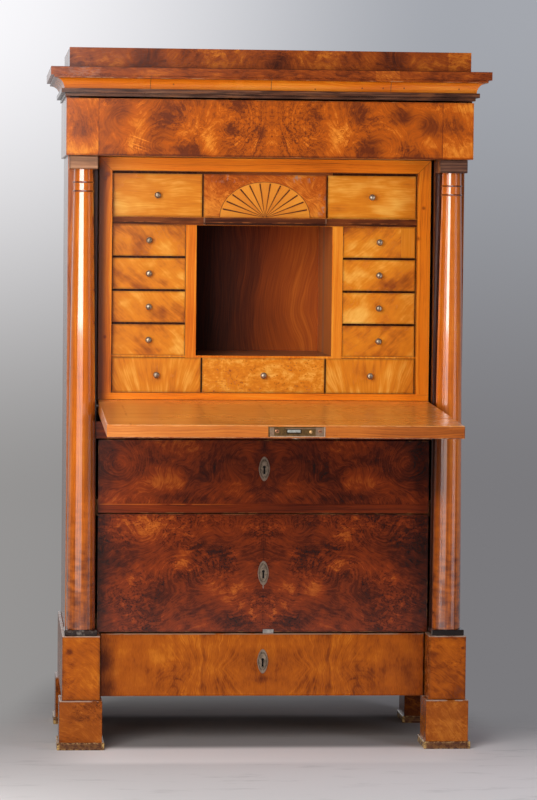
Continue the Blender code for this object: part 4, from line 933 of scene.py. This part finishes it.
def lock_fittings():
    """What shows on the lock in the flap's edge: its rim, bolt, screws and pin."""
    left, right, half = -0.0393, 0.0817, 0.0105
    metals = {
        "pale": ("967054", "f4d8ba", 0.3), "worn": ("604634", "c4a082", 0.3), "steel": ("807c70", "d6d6cc", 0.35),
        "dark": ("1e140c", "3e2e1c", 0.5), "brass": ("b0703c", "fcc886", 0.3), "copper": ("78422a", "ce8e68", 0.3),
    }
    made = {word: metal_material("lock_" + word, dark, light, 0.6, rough)
            for word, (dark, light, rough) in metals.items()}
    dome = [(0.0034, -0.0004), (0.0034, 0.0005), (0.0026, 0.0011), (0.0012, 0.0014)]
    head = [(0.004, -0.0004), (0.004, 0.0006), (0.0032, 0.001)]
    parts = [
        ("lip", "pale", bars((left + 0.004, -half - 0.0002), (right, -half + 0.0016), 0.0005)),
        # The pale end bar is a painted highlight on the lock's right end.
        ("end", "pale", bars((right - 0.003, -half), (right - 0.0002, half), 0.0008)),
        ("shoulder", "worn", bars((left + 0.003, -half + 0.002), (left + 0.0125, half - 0.001), 0.0003)),
        ("cheek", "worn", bars((right - 0.0205, -half + 0.002), (right - 0.0035, half - 0.001), 0.0003)),
        ("top_line", "worn", bars((left + 0.036, half - 0.0042), (right - 0.018, half - 0.0026), 0.0003)),
        ("bolt", "steel", bars((0.0013, -0.0014), (0.0289, 0.0044), 0.0012, 0.0006)),
        # The near black slot round the bolt is painted shade in the bolt's opening.
        ("slot", "dark", bars((-0.001, -0.0032), (0.0312, 0.0054), 0.0004)),
        ("pin", "brass", discs((0.0508, -0.0004), dome, 16)),
    ]
    for word, u in (("screw_left", left + 0.0185), ("screw_right", right - 0.011)):
        parts.append((word, "copper", discs((u, 0.0012), head, 18)))
        # Painted shade in the screw's groove.
        parts.append((word + "_slot", "dark", bars((u - 0.003, 0.0006), (u + 0.003, 0.0018), 0.00115, 0.0001)))
    for word, metal, rings in parts:
        lofted("lock_" + word, on_flap_edge, rings, made[metal], "flap")


def key_fittings():
    """Plate on the flap's outer face, pins of the key plates, a drop on one and the clip on the lower drawer."""
    pewter = metal_material("flap_plate", "604e3c", "c4b09a", 0.8, 0.3)
    # Near black pieces of painted shade stand where the flap plate's keyhole and slot are.
    keyhole_shade = metal_material("keyholes_painted_shade", "0a0806", "18120e", 0.5, 0.7)
    steel = metal_material("clip", "706862", "c4bcb2", 0.6, 0.4)
    sizes = [(PLATE_HALF_WIDTH, PLATE_HALF_HEIGHT, -0.0004), (PLATE_HALF_WIDTH, PLATE_HALF_HEIGHT, 0.0008),
             (0.0122, 0.0274, 0.0018), (0.0108, 0.0258, 0.002), (0.0098, 0.0248, 0.0012)]
    lofted("flap_plate", under_flap, ovals((0.0212, 0), sizes, 32, 0.16), pewter, "flap")
    hole = [(0.0032, 0.001), (0.0032, 0.00128)]
    lofted("flap_keyhole", under_flap, discs((0.0212, 0.004), hole, 20), keyhole_shade, "flap")
    lofted("flap_keyslot", under_flap, bars((0.0196, -0.011), (0.0228, 0.002), 0.0013, 0.0001), keyhole_shade, "flap")

    def on_face(face_y, height):
        return lambda u, v, out: (u, face_y - out, height + v)

    pin = [(0.0013, 0.001), (0.0013, 0.0021), (0.0007, 0.0026)]
    for word, height in PLATE_HEIGHTS.items():
        place = on_face(LOWER_FACE_Y if word == "lower" else FACE_Y, height)
        for end, v in (("head", 0.0205), ("foot", -0.0205)):
            lofted(f"pin_{word}_{end}", place, discs((0, v), pin, 12), pewter, "drawer_" + word)
    turns = [2 * math.pi * step / 12 for step in range(12)]
    rings = [[(math.cos(turn) * wide, -down, 0.0016 + math.sin(turn) * wide) for turn in turns]
             for wide, down in ((0.001, 0.0276), (0.0017, 0.029), (0.0013, 0.0322), (0.0007, 0.0352))]
    lofted("drop_middle", on_face(FACE_Y, PLATE_HEIGHTS["middle"]), rings, pewter, "drawer_middle")
    lofted("clip_leaf", on_face(0.0699, 0), bars((0, 0.2535), (0.0245, 0.2645), 0.0018), steel, "drawer_lower")
    corners = [(0.002, 0.0698), (0.0225, 0.0698), (0.0225, 0.082), (0.002, 0.082)]
    foot = [[(x, y, z) for x, y in corners] for z in (0.25525, 0.25625)]
    fitting("clip_foot", [foot], steel, "drawer_lower")


def backdrop(x, z):
    """Soft colours of a backdrop at a place on it, lightest high up at the left, where painted light falls on it."""
    high = smooth(z, 0.36, 1.88)
    return mix(smooth(x, -0.75, 0.75), mix(high, "969493", "fcfbfe"), mix(high, "7a797c", "a4a7ae"))


def stage_material():
    """Pale floor that keeps the shadow, with a painted shadow under the piece and a painted pool of light just before
    it. Farther off, where it is seen directly, it takes the backdrop's colours.
    """
    graph = Graph("stage")
    x, y, z = graph.place
    marks = noise(x * 5, y * 16, z, detail=4, rough=0.65)
    colour = mix(smooth(x, -0.6, 0.5), "dad6d5", "ece8e8")
    colour = mix(smooth(marks, 0.54, 0.72) * 0.3, colour, "aca8a7")
    # Painted shadow on the floor under the piece.
    painted_shadow_under_piece = smooth(abs(x), 0.47, 0.4) * band(y, 0.06, 0.45, 0.08)
    colour = mix(painted_shadow_under_piece * 0.65, colour, "544a46")
    # Painted light: a pale pool on the floor just before the piece.
    front = smooth(abs(x), 0.52, 0.34) * band(y, -0.16, -0.02, 0.06)
    colour = mix(front * 0.8, colour, "fcf8f7")
    crumb = spot(point(x, y), (-0.215, -1.1), 0.012)
    colour = mix(smooth(crumb, 0.2, 0.6) * 0.6, colour, "d6be82")
    share = calc("DIVIDE", BACKDROP_REACH, most(y - CAMERA_PLACE[1], 6))
    far = backdrop((x - CAMERA_PLACE[0]) * share + CAMERA_PLACE[0], CAMERA_PLACE[2] - share * CAMERA_PLACE[2])
    far = mix(smooth(y, 0.3, -0.6), far, "bab5b4")
    camera, glossy = graph.ray("Camera"), graph.ray("Glossy")
    shaded = smooth(abs(x + 0.02), 0.62, 0.42)
    behind = smooth(y - shaded * 0.7, -0.25, 0.6)
    round_about = smooth(calc("SQRT", x * x + y * y), 1.5, 2.6)
    return graph.finish(graph.add("ShaderNodeMixShader", {
        0: most(behind * most(camera, glossy), round_about * camera),
        1: graph.add("ShaderNodeBsdfDiffuse", {"Color": colour}),
        2: graph.add("ShaderNodeEmission", {"Color": far}),
    }))


def stage_sheet():
    """Wide level floor. No wall stands on it, so that the piece shows from behind too."""
    shape = bmesh.new()
    shape.faces.new([shape.verts.new((x, y, 0)) for x, y in ((-30, -30), (30, -30), (30, 30), (-30, 30))])
    sheet = add_piece("stage_sheet", shape, stage_material())


def make_world():
    """Backdrop where it is seen directly or glances off a side, and a dim grey room for the rest of the light."""
    world = bpy.data.worlds.new("world")
    graph = Graph("world", world)
    x, y, z = graph.place
    ahead = most(abs(y), 0.05)
    wall = backdrop(x / ahead * BACKDROP_REACH + CAMERA_PLACE[0], z / ahead * BACKDROP_REACH + CAMERA_PLACE[2])
    graph.finish(graph.add("ShaderNodeMixShader", {
        0: most(graph.ray("Camera"), graph.ray("Glossy") * smooth(y, 0.3, 0.7)),
        1: graph.add("ShaderNodeBackground", {"Color": "a0a3ac", "Strength": 0.16}),
        2: graph.add("ShaderNodeBackground", {"Color": wall}),
    }), "World")
    bpy.context.scene.world = world


def soft_light(name, place, aim, size, power, colour=(1, 1, 1)):
    lamp = bpy.data.lights.new(name, "AREA")
    lamp.shape = "RECTANGLE"
    lamp.size, lamp.size_y = size
    lamp.energy = power
    lamp.color = colour
    light = add_object(name, lamp)
    light.location = place
    light.rotation_euler = (Vector(aim) - Vector(place)).to_track_quat("-Z", "Y").to_euler()


def make_lights():
    soft_light("key", (-1.15, -2, 1.55), (0, 0.07, 0.85), (1.5, 1.3), 38.5, (1, 0.99, 0.98))
    soft_light("key_foot", (-1.1, -2.2, 0.55), (0, 0.07, 0.6), (1.7, 0.9), 5.2, (1, 0.99, 0.98))
    soft_light("strip_left", (-0.76, -0.7, 0.95), (0.42, 0, 0.9), (0.05, 1.7), 2.4)
    soft_light("strip_right", (1.25, -1, 0.95), (0.3, 0, 0.9), (0.3, 1.7), 7, (0.88, 0.9, 1))
    soft_light("top", (-0.2, -1.6, 3.2), (0, 0, 0.8), (1.6, 1.2), 12.5)


def make_camera():
    yaw, pitch = CAMERA_YAW, CAMERA_PITCH
    forward = Vector((math.sin(yaw) * math.cos(pitch), math.cos(yaw) * math.cos(pitch), -math.sin(pitch)))
    right = forward.cross(Vector((0, 0, 1))).normalized()
    up = right.cross(forward)
    level, tilt = math.cos(CAMERA_ROLL), math.sin(CAMERA_ROLL)
    columns = (level * right - tilt * up, tilt * right + level * up, -forward)
    lens = bpy.data.cameras.new("camera")
    lens.lens = CAMERA_LENS
    lens.sensor_width = 36.0
    lens.clip_end = 100.0
    camera = add_object("camera", lens)
    camera.matrix_world = Matrix.Translation(CAMERA_PLACE) @ Matrix(columns).transposed().to_4x4()
    bpy.context.scene.camera = camera


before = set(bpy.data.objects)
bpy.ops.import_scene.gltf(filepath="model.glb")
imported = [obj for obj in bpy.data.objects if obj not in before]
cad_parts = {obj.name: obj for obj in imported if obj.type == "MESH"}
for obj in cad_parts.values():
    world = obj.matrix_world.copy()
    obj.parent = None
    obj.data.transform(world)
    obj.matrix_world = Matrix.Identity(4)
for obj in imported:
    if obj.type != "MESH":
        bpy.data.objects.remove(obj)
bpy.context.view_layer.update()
bpy.context.scene.view_settings.view_transform = "Standard"
make_camera()
make_lights()
make_world()
stage_sheet()
dress_cabinet()
fan_inlay()
lock_fittings()
key_fittings()
